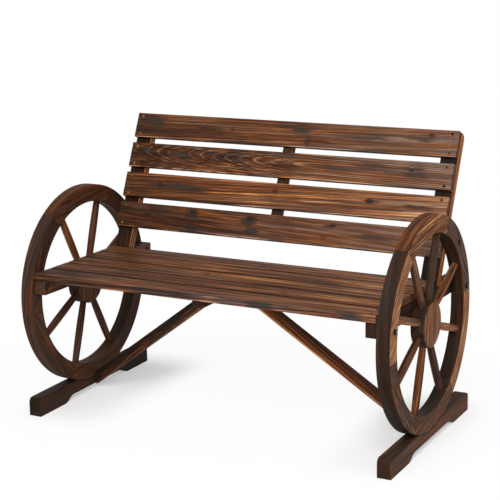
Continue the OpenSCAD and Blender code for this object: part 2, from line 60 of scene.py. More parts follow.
# The wheels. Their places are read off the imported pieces, and their angles start at the back and go up
RIM_IN_X, RIM_OUT_X = (corner.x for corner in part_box("felloe_right_1"))
RIM_X = (RIM_IN_X + RIM_OUT_X) / 2
HUB_LOW, HUB_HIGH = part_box("hub_right")
WHEEL_Y = (HUB_LOW.y + HUB_HIGH.y) / 2
WHEEL_Z = (HUB_LOW.z + HUB_HIGH.z) / 2
WHEEL_R = WHEEL_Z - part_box("felloe_right_5")[0].z
RIM_WIDTH = 0.05
RIM_INNER_R = WHEEL_R - RIM_WIDTH
RIM_MIDDLE_R = WHEEL_R - RIM_WIDTH / 2
FELLOES = 6
FELLOE_TURN = math.radians(6)
FELLOE_SPAN = 2 * math.pi / FELLOES
JOINT_GAP = 0.0002
SPOKES = 8
SPOKE_TURN = math.radians(27)
SPOKE_END_R = 0.0095
SPOKE_SWELL = 0.0015
# A spoke reaches 20 mm into the hub and 18 mm into the rim, less its clearance
SPOKE_FIT = 0.0002
HUB_R = (HUB_HIGH.z - HUB_LOW.z) / 2
SPOKE_FROM = HUB_R - 0.02 + SPOKE_FIT
SPOKE_TO = RIM_INNER_R + 0.018 - SPOKE_FIT

# Directions of the seat's and the back's boards
SEAT_FALL = math.radians(1)
BACK_LEAN = math.radians(25)
ALONG_X = Vector((1, 0, 0))
SEAT_BACKWARD = Vector((0, math.cos(SEAT_FALL), -math.sin(SEAT_FALL)))
SEAT_UP = Vector((0, math.sin(SEAT_FALL), math.cos(SEAT_FALL)))
BACK_UP = Vector((0, math.sin(BACK_LEAN), math.cos(BACK_LEAN)))
BACK_FRONT = Vector((0, -math.cos(BACK_LEAN), math.sin(BACK_LEAN)))


def tint(red, green, blue):
    """A colour as it is seen on a screen, 0 to 255, turned into the shader's own scale."""
    shares = [value / 255 for value in (red, green, blue)]
    return [s / 12.92 if s <= 0.04045 else ((s + 0.055) / 1.055) ** 2.4 for s in shares]


# Settings that a user would change


def colour_setting(name, description, default):
    return bpy.props.FloatVectorProperty(
        name=name, description=description, subtype="COLOR", default=default, min=0, max=1)


def length_setting(name, description, default, low, high):
    return bpy.props.FloatProperty(
        name=name, description=description, unit="LENGTH", default=default, min=low, max=high)


class BenchWood(bpy.types.PropertyGroup):
    """Colours of the scorched wood, from the deepest char to bare wood."""

    char: colour_setting("Char", "Wood that the torch burned black", tint(32, 20, 12))
    dark: colour_setting("Dark", "Deeply browned wood", tint(56, 33, 20))
    brown: colour_setting("Brown", "Evenly browned wood", tint(94, 57, 35))
    ember: colour_setting("Ember", "Orange brown wood between the dark rings", tint(146, 96, 60))
    bare: colour_setting("Bare", "Wood that the torch hardly touched", tint(204, 160, 118))
    smoke: colour_setting("Smoke", "Grey bloom on the charred patches", tint(70, 65, 60))
    ring_spacing: length_setting("Ring spacing", "Distance between two growth rings", 0.0034, 0.001, 0.01)
    arris: length_setting("Arris", "Width of the eased edge on sawn ends", 0.0011, 0.0003, 0.003)


class BenchWheels(bpy.types.PropertyGroup):
    """Sizes of the wheels' dressed pieces."""

    rim_round: length_setting("Rim rounding", "Radius of the rim's four long edges", 0.0022, 0.0005, 0.006)
    joint_bevel: length_setting("Joint bevel", "Bevel where two rim segments meet", 0.0007, 0.0002, 0.003)
    hub_round: length_setting("Hub rounding", "Radius of the hub's two edges", 0.0035, 0.001, 0.01)


class BenchFittings(bpy.types.PropertyGroup):
    """Sizes of the screws, bolts, nuts and washers."""

    screw_head: length_setting("Screw head", "Diameter of a wood screw's head", 0.008, 0.005, 0.012)
    screw_shank: length_setting("Screw shank", "Diameter of a wood screw's shank", 0.004, 0.002, 0.006)
    bolt: length_setting("Bolt", "Diameter of the bolts through the rims", 0.008, 0.005, 0.012)
    hexagon: length_setting(
        "Hexagon", "Width of the bolts' heads and nuts across their flats", 0.013, 0.008, 0.02)


class BenchStage(bpy.types.PropertyGroup):
    """Light and camera."""

    lens: bpy.props.FloatProperty(
        name="Lens", description="Focal length of the camera", subtype="DISTANCE_CAMERA",
        default=101.42, min=20, max=300)
    sky: bpy.props.FloatProperty(
        name="Sky", description="Strength of the even light from all round", default=0.48, min=0, max=2)
    key: bpy.props.FloatProperty(
        name="Key", description="Power of the large lamp in front", subtype="POWER",
        default=165, min=0, max=1000)
    floor_tint: colour_setting("Floor", "Colour of the floor", (0.95, 0.95, 0.95))
    floor_glow: bpy.props.FloatProperty(
        name="Floor glow", description="Share of plain white in the floor, which lightens the shadow",
        subtype="FACTOR", default=0.94, min=0, max=1)


SETTINGS = {"bench_wood": BenchWood, "bench_wheels": BenchWheels, "bench_fittings": BenchFittings,
            "bench_stage": BenchStage}


# Node trees


class Field:
    """A node's socket that can be used in sums: each operator adds its Math node."""

    def __init__(self, nodes, socket):
        self.nodes, self.socket = nodes, socket

    def math(self, operation, *values, clamp=False):
        settings = {"operation": operation, "use_clamp": clamp}
        return self.nodes.add("ShaderNodeMath", settings, dict(enumerate(values)))

    def __add__(self, other):
        return self.math("ADD", self, other)

    def __radd__(self, other):
        return self.math("ADD", other, self)

    def __sub__(self, other):
        return self.math("SUBTRACT", self, other)

    def __rsub__(self, other):
        return self.math("SUBTRACT", other, self)

    def __mul__(self, other):
        return self.math("MULTIPLY", self, other)

    def __rmul__(self, other):
        return self.math("MULTIPLY", other, self)

    def __truediv__(self, other):
        return self.math("DIVIDE", self, other)

    def __rtruediv__(self, other):
        return self.math("DIVIDE", other, self)

    def __neg__(self):
        return self * -1

    def root(self):
        return self.math("SQRT", self)

    def size(self):
        return self.math("ABSOLUTE", self)

    def part(self):
        """What is left over the last whole number."""
        return self.math("FRACT", self)

    def clipped(self):
        """The field held between 0 and 1."""
        return self.math("ADD", self, 0, clamp=True)

    def between(self, low, high):
        """0 below low, 1 above high and smooth between them."""
        settings = {"interpolation_type": "SMOOTHSTEP"}
        return self.nodes.add("ShaderNodeMapRange", settings, {0: self, 1: low, 2: high, 3: 0, 4: 1})


def most(fields):
    """The largest of some fields at each point, or 0 where there are none."""
    largest = fields[0] if fields else 0
    for field in fields[1:]:
        largest = field.math("MAXIMUM", largest, field)
    return largest


class Nodes:
    """A node tree under construction."""

    def __init__(self, tree):
        self.tree = tree

    def add(self, kind, settings=None, sockets=None, out=0):
        """A node of this type with its settings made first, then the values or links of its sockets. A
        list of fields is linked to one socket."""
        node = self.tree.nodes.new(kind)
        for name, value in (settings or {}).items():
            if name == "stops":
                self.set_stops(node.color_ramp, value)
            else:
                setattr(node, name, value)
        for name, value in (sockets or {}).items():
            if isinstance(value, (Field, list)):
                for field in value if isinstance(value, list) else [value]:
                    self.tree.links.new(field.socket, node.inputs[name])
            else:
                node.inputs[name].default_value = value
        return Field(self, node.outputs[out]) if node.outputs else None

    def set_stops(self, ramp, stops):
        while len(ramp.elements) < len(stops):
            ramp.elements.new(1)
        for element, (place, colour) in zip(ramp.elements, stops):
            element.position, element.color = place, (*colour, 1)

    def vector(self, x, y, z):
        return self.add("ShaderNodeCombineXYZ", {}, {0: x, 1: y, 2: z})

    def parts(self, vector):
        node = self.add("ShaderNodeSeparateXYZ", {}, {0: vector}).socket.node
        return [Field(self, output) for output in node.outputs]


class Finish(Nodes):
    """The shader of a material, or of the world, under construction."""

    def __init__(self, name, owner=None):
        self.owner = owner or bpy.data.materials.new(name)
        self.owner.use_nodes = True
        self.owner.node_tree.nodes.clear()
        super().__init__(self.owner.node_tree)

    def attribute(self, name):
        """The three parts of a vector kept on the mesh."""
        return self.parts(self.add("ShaderNodeAttribute", {"attribute_name": name}, out="Vector"))

    def noise(self, vector, scale=1.0, detail=2.0, roughness=0.5, distortion=0.0):
        return self.add("ShaderNodeTexNoise", {}, {
            "Vector": vector, "Scale": scale, "Detail": detail, "Roughness": roughness,
            "Distortion": distortion})

    def mix(self, share, first, second, blend="MIX"):
        """A colour between two colours."""
        pair = [value if isinstance(value, Field) else (*value, 1) for value in (first, second)]
        settings = {"data_type": "RGBA", "blend_type": blend}
        return self.add("ShaderNodeMix", settings, {0: share, 6: pair[0], 7: pair[1]}, 2)

    def bump(self, height, strength, distance):
        return self.add("ShaderNodeBump", {}, {"Strength": strength, "Distance": distance, "Height": height})

    def surface(self, colour, gloss, normal, specular, metallic=0.0):
        """Ends the material in one Principled shader."""
        shader = self.add("ShaderNodeBsdfPrincipled", {}, {
            "Base Color": colour, "Roughness": gloss, "Normal": normal, "Metallic": metallic,
            "Specular IOR Level": specular})
        self.add("ShaderNodeOutputMaterial", {}, {"Surface": shader})
        return self.owner


# Materials


class Timber(Finish):
    """A wood under construction. It reads four vectors from the mesh: grain, the place in the log, along
    it and two ways across it from the pith; place, the place on the piece; look, how charred, warm and
    light the piece is, where the lightness also holds painted light and shade; and wear, its
    end grain, its eased edges, worn and with a painted highlight where they face the lit way and painted
    shade elsewhere, and its own seed."""

    def __init__(self, name, sweep):
        super().__init__(name)
        self.along, self.across, self.deep = self.attribute("grain")
        self.place, self.height, self.front = self.attribute("place")
        self.char, self.warm, self.value = self.attribute("look")
        self.end, self.edge, self.seed = self.attribute("wear")
        self.shift = self.seed * 37.0
        self.drift = self.stretched(1.7, 1.6, 9.0) - 0.5
        self.wobble = self.stretched(4.1, 9.0, 60.0) - 0.5
        if sweep:
            start, stop, dive = sweep
            self.deep = self.deep - (1 - self.place.between(start, stop)) * dive
        self.fibre = self.strands(7.7, 16.0, 760.0, 0.20)
        self.thread = self.strands(9.3, 2.8, 250.0, 0.16)
        self.streak = self.strands(5.9, 1.5, 130.0, 0.16)
        # The torch's uneven passes and its blots
        self.passes = self.stretched(2.2, 3.6, 15.0, detail=2.0, roughness=0.55) - 0.5
        self.blots = self.stretched(6.4, 6.0, 22.0, detail=3.0, roughness=0.6, distortion=0.4)

    def stretched(self, by, scale_along, scale_across, detail=1.0, **more):
        """Noise drawn out along the grain. By keeps one noise from looking like another."""
        across, deep = self.across * scale_across + by, self.deep * scale_across + self.shift
        vector = self.vector(self.along * scale_along + self.shift, across, deep)
        return self.noise(vector, detail=detail, **more)

    def strands(self, by, scale_along, scale_across, soft):
        """Strands along the grain, from -0.5 to 0.5: the smaller soft is, the sharper they are."""
        return self.stretched(by, scale_along, scale_across).between(0.5 - soft, 0.5 + soft) - 0.5

    def rings(self, knots):
        """Each point's distance from the pith, bent round the knots, and the knots' hearts and rims."""
        distance = (self.across * self.across + self.deep * self.deep).root()
        distance = distance + self.drift * 0.010 + self.wobble * 0.0016
        hearts, rims = [], []
        for x, z, radius, depth in knots:
            run = (self.place - x) * (0.70 / radius)
            rise = (self.height - z) * (1 / radius)
            span = run * run + rise * rise
            distance = distance + 1 / (1 + span * span * 0.25 + span * 0.35) * (radius * 0.95)
            reach = span.root() + self.wobble * 0.8
            hearts.append((1.1 - reach).between(0.0, 0.3) * depth)
            rims.append((1 - (reach - 0.85).size() * 2.6).clipped() * depth)
        return distance, most(hearts), most(rims)

    def scorches(self, soot):
        """How much soot lies on each point, and how pale it is."""
        burns, pales = [self.blots.between(0.60, 0.38) * self.char * 0.38], []
        ragged = self.wobble * 0.7 + self.thread * 0.35 + self.streak * 0.35
        bend = (self.stretched(5.1, 14.0, 40.0, detail=2.0) - 0.5) * 2.2
        flow = (self.blots - 0.5) * 2.4
        for x, z, length, width, depth in soot:
            run = (self.place - x) * (1 / length) + flow
            rise = (self.height - z) * (1 / width) + bend
            veil = (1.25 - (run * run + rise * rise).root() + ragged).between(0.0, 1.35)
            marks = burns if depth > 0 else pales
            marks.append(veil * (1 + (self.thread + self.streak) * 1.1) * abs(depth))
        return most(burns).clipped(), most(pales)

    def arris_wear_and_shading_tone(self, arris_wear_and_shading):
        """How much the bands along the arrises lighten the wood, or darken it below zero: the bright bands
        carry a painted highlight, on the slats over their wear, and the dark ones painted shade.
        """
        total = 0
        for level, face, width, strength in arris_wear_and_shading:
            near = (1 - (self.height - level).size() * (1 / width)).clipped()
            near = near * (1 - (self.front - face).size() * 900.0).clipped()
            if strength > 0:
                near = near * (self.thread * 0.9 + self.passes * 1.2 + 0.7).clipped()
            total = total + near * strength
        return total

    def cracks(self, split):
        """Drying checks, which are short lines along the grain, and a long split at each given height."""
        line = (self.stretched(12.9, 2.6, 95.0) - 0.5).size()
        cracks = [(1 - line.between(0.0, 0.02)) * self.stretched(15.1, 5.0, 24.0).between(0.58, 0.68)]
        for height in split:
            line = (self.height - height + (self.stretched(3.3, 30.0, 30.0) - 0.5) * 0.006).size()
            cracks.append(1 - line.between(0.0003, 0.0014))
        return most(cracks)


def scorched_wood(name, knots=(), soot=(), arris_wear_and_shading=(), sweep=None, lines=0.30, spacing=1.0, split=(),
                  roughness=0.62, fine=1.0, calm=0.0):
    """Torched softwood. A knot is a place along and across the piece, a radius and how dark it is. Soot is
    a place, a half length, a half width and how deep it is, or below zero how pale. Each band of
    arris_wear_and_shading lies along an arris and lightens it, or darkens it below zero: its height across
    the piece, its height off the middle plane, its width and its strength. A bright band is a painted
    highlight, over wear on the slats, and a dark band is painted shade. A sweep is a stretch of the piece
    over which the rings dive into the board, which draws arches on its face. Lines is how dark the late
    wood is, and below zero it is lighter than the rest. Spacing widens the rings, split gives the heights
    of long cracks, fine is the strength of the fibres, and calm is the share of it that the piece's right
    half lacks."""
    wood = bpy.context.scene.bench_wood
    f = Timber(name, sweep)
    char, warm, end, passes = f.char, f.warm, f.end, f.passes
    fibre, thread, streak = f.fibre, f.thread, f.streak
    distance, core, shell = f.rings(knots)
    ring = distance / (wood.ring_spacing * spacing)
    phase = ring.part()
    # Light rings are narrower than dark ones
    low, high = (0.42, 0.86) if lines > 0 else (0.62, 0.82)
    late = phase.between(low, high) * (1 - phase.between(0.9, 1.0))
    years = f.noise(f.vector(ring * 0.45 + f.shift, f.seed * 11.0, 0.0), detail=1.0).between(0.3, 0.7)
    burn, pale = f.scorches(soot)
    crack = f.cracks(split)

    # Char hides the rings and calms the fibres, as do the end grain and a calm right half
    quiet = fine * (1.22 - char * 0.6).clipped() * (1 - end * 0.6) * (1 - f.place.between(-0.1, 0.4) * calm)
    tone = f.value - (late - 0.34) * (years * 0.75 + 0.25) * ((1.35 - char * 1.3).clipped() * lines)
    tone = tone + (fibre * 0.15 + thread * 0.26 + streak * 0.17) * quiet + passes * 0.24
    # Eased edges that face the lit way are worn bright and carry a painted highlight, and the others carry
    # painted shade
    tone = tone + f.edge * (1.15 - char).clipped() * (0.22 + thread * 0.4 + passes * 0.9)
    # Bands along the arrises: bright ones a painted highlight, over wear on the slats, and dark ones painted
    # shade
    tone = tone - burn * 0.36 - end * 0.08 + pale * 0.18 + f.arris_wear_and_shading_tone(arris_wear_and_shading)
    tone = tone - crack * 0.25 - core * (0.14 + burn * 0.25) - shell * 0.22

    # The tone picks the colour, which the heat greys or warms, and soot and knots tint
    colours = [wood.char, wood.dark, wood.brown, wood.ember, wood.bare]
    stops = [(stop, tuple(colour)) for stop, colour in zip((0.0, 0.22, 0.45, 0.70, 1.0), colours)]
    colour = f.add("ShaderNodeValToRGB", {"stops": stops}, {0: tone.clipped()})
    faded = {"Saturation": 0.60, "Value": 0.98, "Fac": 1.0, "Color": colour}
    grey = f.add("ShaderNodeHueSaturation", {}, faded)
    glow = f.mix(1.0, colour, (1.24, 1.0, 0.66), "MULTIPLY")
    hue = f.strands(8.6, 2.4, 150.0, 0.15)
    heat = warm + hue * 0.6 + passes * 0.4 + pale * 0.25
    colour = f.mix(((0.5 - heat) * 1.6).clipped(), colour, grey)
    colour = f.mix(((heat - 0.5) * 1.7).clipped(), colour, glow)
    haze = burn * (1.0 - late * 0.3) * 0.48 * (1 - core * 0.7)
    colour = f.mix(haze.clipped(), colour, tuple(wood.smoke))
    colour = f.mix((core * (1 - burn)).clipped() * 0.32, colour, tint(96, 52, 38))

    gloss = (roughness + burn * 0.14 + end * 0.12 + fibre * 0.10 - late * 0.05).clipped()
    relief = late * 0.5 + fibre * 0.35 + thread * 0.3 + streak * 0.2 - crack * 1.6 + end * fibre * 0.8
    return f.surface(colour, gloss, f.bump(relief + core * 0.4, 0.5, 0.0006), 0.06)


THREAD_PITCH = 0.00125


def dark_steel(name, thread=False):
    """Blackened steel, lighter grey in patches, with a little rust. A thread shows inside the rims."""
    f = Finish(name)
    place = f.add("ShaderNodeTexCoord", {}, {}, "Object")
    cloud = f.noise(place, scale=420.0, detail=3.0, roughness=0.6)
    grit = f.noise(place, scale=2600.0, detail=1.0)
    rust = f.noise(place, scale=180.0, detail=4.0, roughness=0.65).between(0.56, 0.72)
    colour = f.mix(cloud.between(0.3, 0.75), tint(12, 12, 12), tint(46, 44, 42))
    colour = f.mix(rust * 0.5, colour, tint(78, 50, 36))
    gloss = (0.34 + cloud * 0.2 + rust * 0.3).clipped()
    height = grit * 0.3 + cloud * 0.6
    if thread:
        x = f.parts(place)[0].size()
        turns = x.math("SINE", x * (2 * math.pi / THREAD_PITCH))
        height = height + turns * x.between(RIM_IN_X, RIM_IN_X - 0.0003) * 1.5
    return f.surface(colour, gloss, f.bump(height, 0.5, 0.0003), 0.5, metallic=0.85 - rust * 0.6)


def yellow_zinc(name, dirt_share=0.0):
    """Zinc plated screws, dulled by weather. Those at the bench's left side stayed brighter."""
    f = Finish(name)
    place = f.add("ShaderNodeTexCoord", {}, {}, "Object")
    cloud = f.noise(place, scale=300.0, detail=3.0, roughness=0.6)
    dirt = f.noise(place, scale=26.0, detail=2.0).between(0.46, 0.66) * 0.8
    dirt = (dirt + f.parts(place)[0].between(-0.2, 0.3) * 0.75 + dirt_share).clipped()
    colour = f.mix(cloud.between(0.3, 0.7), tint(104, 80, 44), tint(150, 122, 76))
    colour = f.mix(dirt, colour, tint(22, 17, 14))
    gloss = (0.32 + cloud * 0.25 + dirt * 0.4).clipped()
    return f.surface(colour, gloss, f.bump(cloud, 0.3, 0.0002), 0.1, metallic=0.75 - dirt * 0.75)


def dowel_wood(name):
    """Plain pale hardwood with fine grain along the dowel."""
    f = Finish(name)
    x, y, z = f.attribute("turned")
    fibre = f.noise(f.vector(x * 900.0, y * 900.0, z * 14.0), detail=2.0)
    rings = f.noise(f.vector(x * 260.0, y * 260.0, z * 2.0), detail=1.0)
    pores = f.noise(f.vector(x * 2200.0, y * 2200.0, z * 90.0), detail=1.0).between(0.62, 0.72)
    colour = f.mix(rings.between(0.35, 0.65), tint(206, 160, 108), tint(180, 130, 82))
    colour = f.mix(fibre.between(0.4, 0.7) * 0.5, colour, tint(150, 104, 64))
    colour = f.mix(pores * 0.6, colour, tint(112, 76, 46))
    return f.surface(colour, 0.5 + fibre * 0.2, f.bump(fibre - pores * 0.5, 0.4, 0.0003), 0.3)


# Wooden pieces


class Cut:
    """How a piece was sawn: its directions and centre, where the pith ran and how it looks. Its eased edges
    that face lit carry a painted highlight over their wear, and those that face away painted shade. Shade
    changes the look from point to point, on some pieces with painted light and shade, and lay the grain."""

    def __init__(self, node, along, up, centre=None, pith=(0.11, -0.05), tilt=(0.01, 0.02),
                 look=(0.5, 0.5, 0.5), shade=None, lay=None, lit=(0.3, -0.6, -0.7)):
        self.node = node
        self.centre = np.array(centre_of(node) if centre is None else centre)
        self.along = Vector(along).normalized()
        self.up = (Vector(up) - self.along * self.along.dot(Vector(up))).normalized()
        self.out = self.along.cross(self.up)
        self.pith, self.tilt, self.look, self.shade, self.lay = pith, tilt, look, shade, lay
        self.lit = Vector(lit).normalized()
        self.seed = random.Random(node).uniform(0, 1)


def centre_of(node):
    low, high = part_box(node)
    return (low + high) / 2


def half_sizes(node, *ways):
    """Half of what a CAD node spans in each direction."""
    points = np.array([v.co for v in NODES[node].data.vertices])
    return [float(np.ptp(points @ np.array(way))) / 2 for way in ways]


def area_normals(mesh):
    """The normal at each point, in which a large face counts for more."""
    total = np.zeros((len(mesh.vertices), 3))
    for face in mesh.polygons:
        total[list(face.vertices)] += np.array(face.normal) * face.area
    return total / np.maximum(np.linalg.norm(total, axis=1, keepdims=True), 1e-12)


# What is narrower or smaller than this belongs to an eased edge
LEAST_FACE_WIDTH = 0.001
LEAST_FACE_AREA = 1.5e-6


def eased_points(mesh):
    """1 at the points that lie on eased edges, and 0 elsewhere."""
    eased = np.ones(len(mesh.vertices))
    for face in mesh.polygons:
        longest = max((mesh.vertices[a].co - mesh.vertices[b].co).length for a, b in face.edge_keys)
        if face.area / longest > LEAST_FACE_WIDTH and face.area > LEAST_FACE_AREA:
            eased[list(face.vertices)] = 0
    return eased


def keep_vector(mesh, name, values):
    """Writes a vector for each point of a mesh."""
    layer = mesh.attributes.new(name, "FLOAT_VECTOR", "POINT")
    layer.data.foreach_set("vector", np.asarray(values, np.float32).ravel())


def grow_wood(mesh, cut):
    """Writes where each point lay in its log, how charred and worn it is, and its painted light and shade."""
    count = len(mesh.vertices)
    points = np.zeros(count * 3)
    mesh.vertices.foreach_get("co", points)
    points = points.reshape(-1, 3)
    s, t, n = ((points - cut.centre) @ np.array(way) for way in (cut.along, cut.up, cut.out))
    places = np.stack([s, t, n], 1)
    grain = np.stack([s, t - cut.pith[0] - cut.tilt[0] * s, n - cut.pith[1] - cut.tilt[1] * s], 1)
    normals = area_normals(mesh)
    if cut.lay:
        grain = cut.lay(grain, points, normals)
    look = np.tile(np.array(cut.look, float), (count, 1))
    if cut.shade:
        look = cut.shade(look, points, normals, places)
    # Eased edges facing the lit way get a painted highlight over their wear, and those facing away painted
    # shade
    facing = normals @ np.array(cut.lit)
    edge = eased_points(mesh) * np.where(facing > 0.5, 1.0, np.clip(facing * 1.5, -0.6, 0.4))
    wear = np.stack([np.abs(normals @ np.array(cut.along)) ** 3, edge, np.full(count, cut.seed)], 1)
    for name, values in {"grain": grain, "place": places, "look": look, "wear": wear}.items():
        keep_vector(mesh, name, values)


def new_object(name, data):
    """An object that is part of the scene."""
    made = bpy.data.objects.new(name, data)
    bpy.context.scene.collection.objects.link(made)
    return made


def set_piece(name, mesh, node, sharp, even=False):
    """Smooths a mesh between its sharp edges and makes it the piece that stands for a CAD node."""
    mesh.polygons.foreach_set("use_smooth", [True] * len(mesh.polygons))
    mesh.set_sharp_from_angle(angle=math.radians(sharp))
    piece = new_object(name, mesh)
    if even:
        weighted = piece.modifiers.new("Even shading", "WEIGHTED_NORMAL")
        weighted.keep_sharp, weighted.weight = True, 80
    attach(piece, "root")
    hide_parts(node)


def finish_piece(name, bm, cut, material):
    """Turns worked geometry into a wooden piece."""
    mesh = bpy.data.meshes.new(name)
    bm.verts.index_update()
    mesh.from_pydata([v.co.copy() for v in bm.verts], [], [[v.index for v in f.verts] for f in bm.faces])
    bm.free()
    mesh.update()
    grow_wood(mesh, cut)
    mesh.materials.append(material)
    set_piece(name, mesh, cut.node, 38, even=True)


def islands(items, neighbours):
    """Items in groups that hang together."""
    groups, seen = [], set()
    for first in items:
        if first in seen:
            continue
        group, todo = [], [first]
        seen.add(first)
        while todo:
            item = todo.pop()
            group.append(item)
            for other in neighbours(item):
                if other not in seen:
                    seen.add(other)
                    todo.append(other)
        groups.append(group)
    return groups


def sharp_outline(bm, least):
    """The sharp outer edges, without the rims of holes, which are loops smaller than least."""
    sharp = [e for e in bm.edges if len(e.link_faces) == 2 and e.is_convex
             and e.calc_face_angle(0) > math.radians(35)]
    known, chosen = set(sharp), []

    def neighbours(edge):
        return [other for v in edge.verts for other in v.link_edges if other in known]
    for group in islands(sharp, neighbours):
        places = np.array([v.co for e in group for v in e.verts])
        if np.linalg.norm(places.max(0) - places.min(0)) > least:
            chosen += group
    return chosen


def merged_copy(node):
    """A CAD node's faces with their corners joined."""
    bm = bmesh.new()
    bm.from_mesh(NODES[node].data)
    bmesh.ops.remove_doubles(bm, verts=bm.verts, dist=1e-5)
    return bm


def make_board(name, material, cut, least=0.026):
    """A copy of a CAD node with its sawn edges eased."""
    bm = merged_copy(cut.node)
    bmesh.ops.dissolve_limit(bm, angle_limit=math.radians(0.4), verts=bm.verts, edges=bm.edges)
    bmesh.ops.bevel(bm, geom=sharp_outline(bm, least), offset=bpy.context.scene.bench_wood.arris, segments=3,
                    profile=0.5, affect="EDGES", clamp_overlap=False)
    finish_piece(name, bm, cut, material)


def closed_tube(rings):
    """Skins a row of rings of points and closes both ends."""
    bm = bmesh.new()
    rings = [[bm.verts.new(point) for point in ring] for ring in rings]
    for first, second in zip(rings, rings[1:]):
        for k in range(len(first)):
            j = (k + 1) % len(first)
            bm.faces.new((first[k], first[j], second[j], second[k]))
    bm.faces.new(rings[0][::-1])
    bm.faces.new(rings[-1])
    bmesh.ops.recalc_face_normals(bm, faces=bm.faces)
    return bm


def lathe(centre, axis, profile, count):
    """A turned piece: profile holds pairs of a place along the axis and a radius."""
    turn = Vector(axis).to_track_quat("Z", "Y").to_matrix()
    angles = [2 * math.pi * k / count for k in range(count)]
    return closed_tube([[
        centre + turn @ Vector((radius * math.cos(angle), radius * math.sin(angle), place))
        for angle in angles] for place, radius in profile])


# Wheels


def wheel_centre(side):
    return Vector((SIDES[side] * RIM_X, WHEEL_Y, WHEEL_Z))


def wheel_way(angle):
    """The way out from the wheel's centre."""
    return Vector((0, math.cos(angle), math.sin(angle)))


def rim_section(inset, rounding):
    """The rim's outline across its curve, as pairs of a radius and a place along X, from its middle."""
    width, depth = RIM_WIDTH / 2 - inset, (RIM_OUT_X - RIM_IN_X) / 2 - inset
    r = max(rounding - inset, 0.0004)
    points = []
    for quarter, (a, b) in enumerate([(1, 1), (-1, 1), (-1, -1), (1, -1)]):
        for step in range(4):
            angle = math.radians(90 * quarter + 30 * step)
            points.append((a * (width - r) + r * math.cos(angle), b * (depth - r) + r * math.sin(angle)))
    return points


def felloe_mesh(side, index):
    """One curved segment of the rim, rounded along its edges and bevelled at its joints."""
    wheels = bpy.context.scene.bench_wheels
    gap, lip = JOINT_GAP / 2 / RIM_MIDDLE_R, wheels.joint_bevel / RIM_MIDDLE_R
    start = FELLOE_TURN + FELLOE_SPAN * (index - 1) + gap
    stop = FELLOE_TURN + FELLOE_SPAN * index - gap
    steps = 44
    bevel = [(0, 1), (lip * 0.4, 0.3)]
    cuts = [(start + by, share) for by, share in bevel]
    cuts += [(start + lip + (stop - start - 2 * lip) * k / steps, 0) for k in range(steps + 1)]
    cuts += [(stop - by, share) for by, share in reversed(bevel)]
    return closed_tube([[
        wheel_centre(side) + wheel_way(angle) * (RIM_MIDDLE_R + radial) + ALONG_X * x
        for radial, x in rim_section(wheels.joint_bevel * share, wheels.rim_round)] for angle, share in cuts])


def round_share(points, normals):
    """Each point's direction from the wheel's centre, how far it faces outwards, and how much of it faces
    outwards or inwards."""
    radial = np.stack([np.zeros(len(points)), points[:, 1] - WHEEL_Y, points[:, 2] - WHEEL_Z], 1)
    radial /= np.linalg.norm(radial, axis=1)[:, None]
    outward = (normals * radial).sum(1)
    return radial, outward[:, None], np.clip(np.abs(outward) * 1.5 - 0.25, 0, 1)[:, None]


def rim_lay(middle):
    """The treads and the inner edges show their grain along the curve."""
    def lay(grain, points, normals):
        radial, outward, share = round_share(points, normals)
        turned = (np.arctan2(radial[:, 2], radial[:, 1]) - middle + math.pi) % (2 * math.pi) - math.pi
        bent = np.stack([turned * WHEEL_R, np.where(outward[:, 0] > 0, 0.16, 0.11), grain[:, 2]], 1)
        return grain * (1 - share) + bent * share
    return lay


def rim_shade(face, tread, inner):
    """The tread and the inner edge have looks of their own beside the two faces'."""
    def shade(look, points, normals, places):
        _, outward, share = round_share(points, normals)
        return np.where(outward > 0, tread, inner) * share + np.array(face) * (1 - share)
    return shade


# A look is how charred, how warm and how light a piece is. Each segment has one for its faces, its
# tread and its inner edge. The right wheel's inner edges are very dark: deep char, with painted shade
FELLOE_LOOKS = {
    "left": [((0.7, 0.5, 0.22), (0.9, 0.5, 0.26), (0.9, 0.5, 0.26)),
             ((0.5, 0.66, 0.32), (0.8, 0.66, 0.32), (0.8, 0.6, 0.30)),
             ((0.6, 0.54, 0.26), (0.8, 0.42, 0.27), (0.9, 0.6, 0.26)),
             ((0.5, 0.55, 0.26), (0.9, 0.38, 0.25), (0.9, 0.5, 0.26)),
             ((0.6, 0.65, 0.28), (1.0, 0.4, 0.24), (0.9, 0.4, 0.24)),
             ((0.7, 0.5, 0.24), (1.0, 0.4, 0.22), (0.9, 0.2, 0.22))],
    "right": [((0.40, 0.24, 0.38), (0.8, 0.5, 0.30), (0.8, 0.55, 0.11)),
              ((0.15, 0.68, 0.49), (0.6, 0.95, 0.29), (0.8, 0.6, 0.16)),
              ((0.12, 0.58, 0.64), (0.9, 0.45, 0.11), (0.8, 0.5, 0.16)),
              ((0.35, 0.36, 0.28), (1.0, 0.42, 0.03), (0.8, 0.4, 0.12)),
              ((0.3, 0.55, 0.35), (1.0, 0.45, 0.07), (0.9, 0.4, 0.12)),
              ((0.15, 0.62, 0.62), (0.8, 0.5, 0.24), (0.8, 0.6, 0.07))],
}
RIM_WOODS = {"left": {"lines": 0.24, "fine": 0.70}, "right": {"lines": 0.60, "spacing": 2.7}}
# A painted highlight along the top edge of the right wheel's second rim segment, where its tread meets its
# outer face
PAINTED_HIGHLIGHT_STREAK = (0.030, -0.019, 0.0038, 0.50)


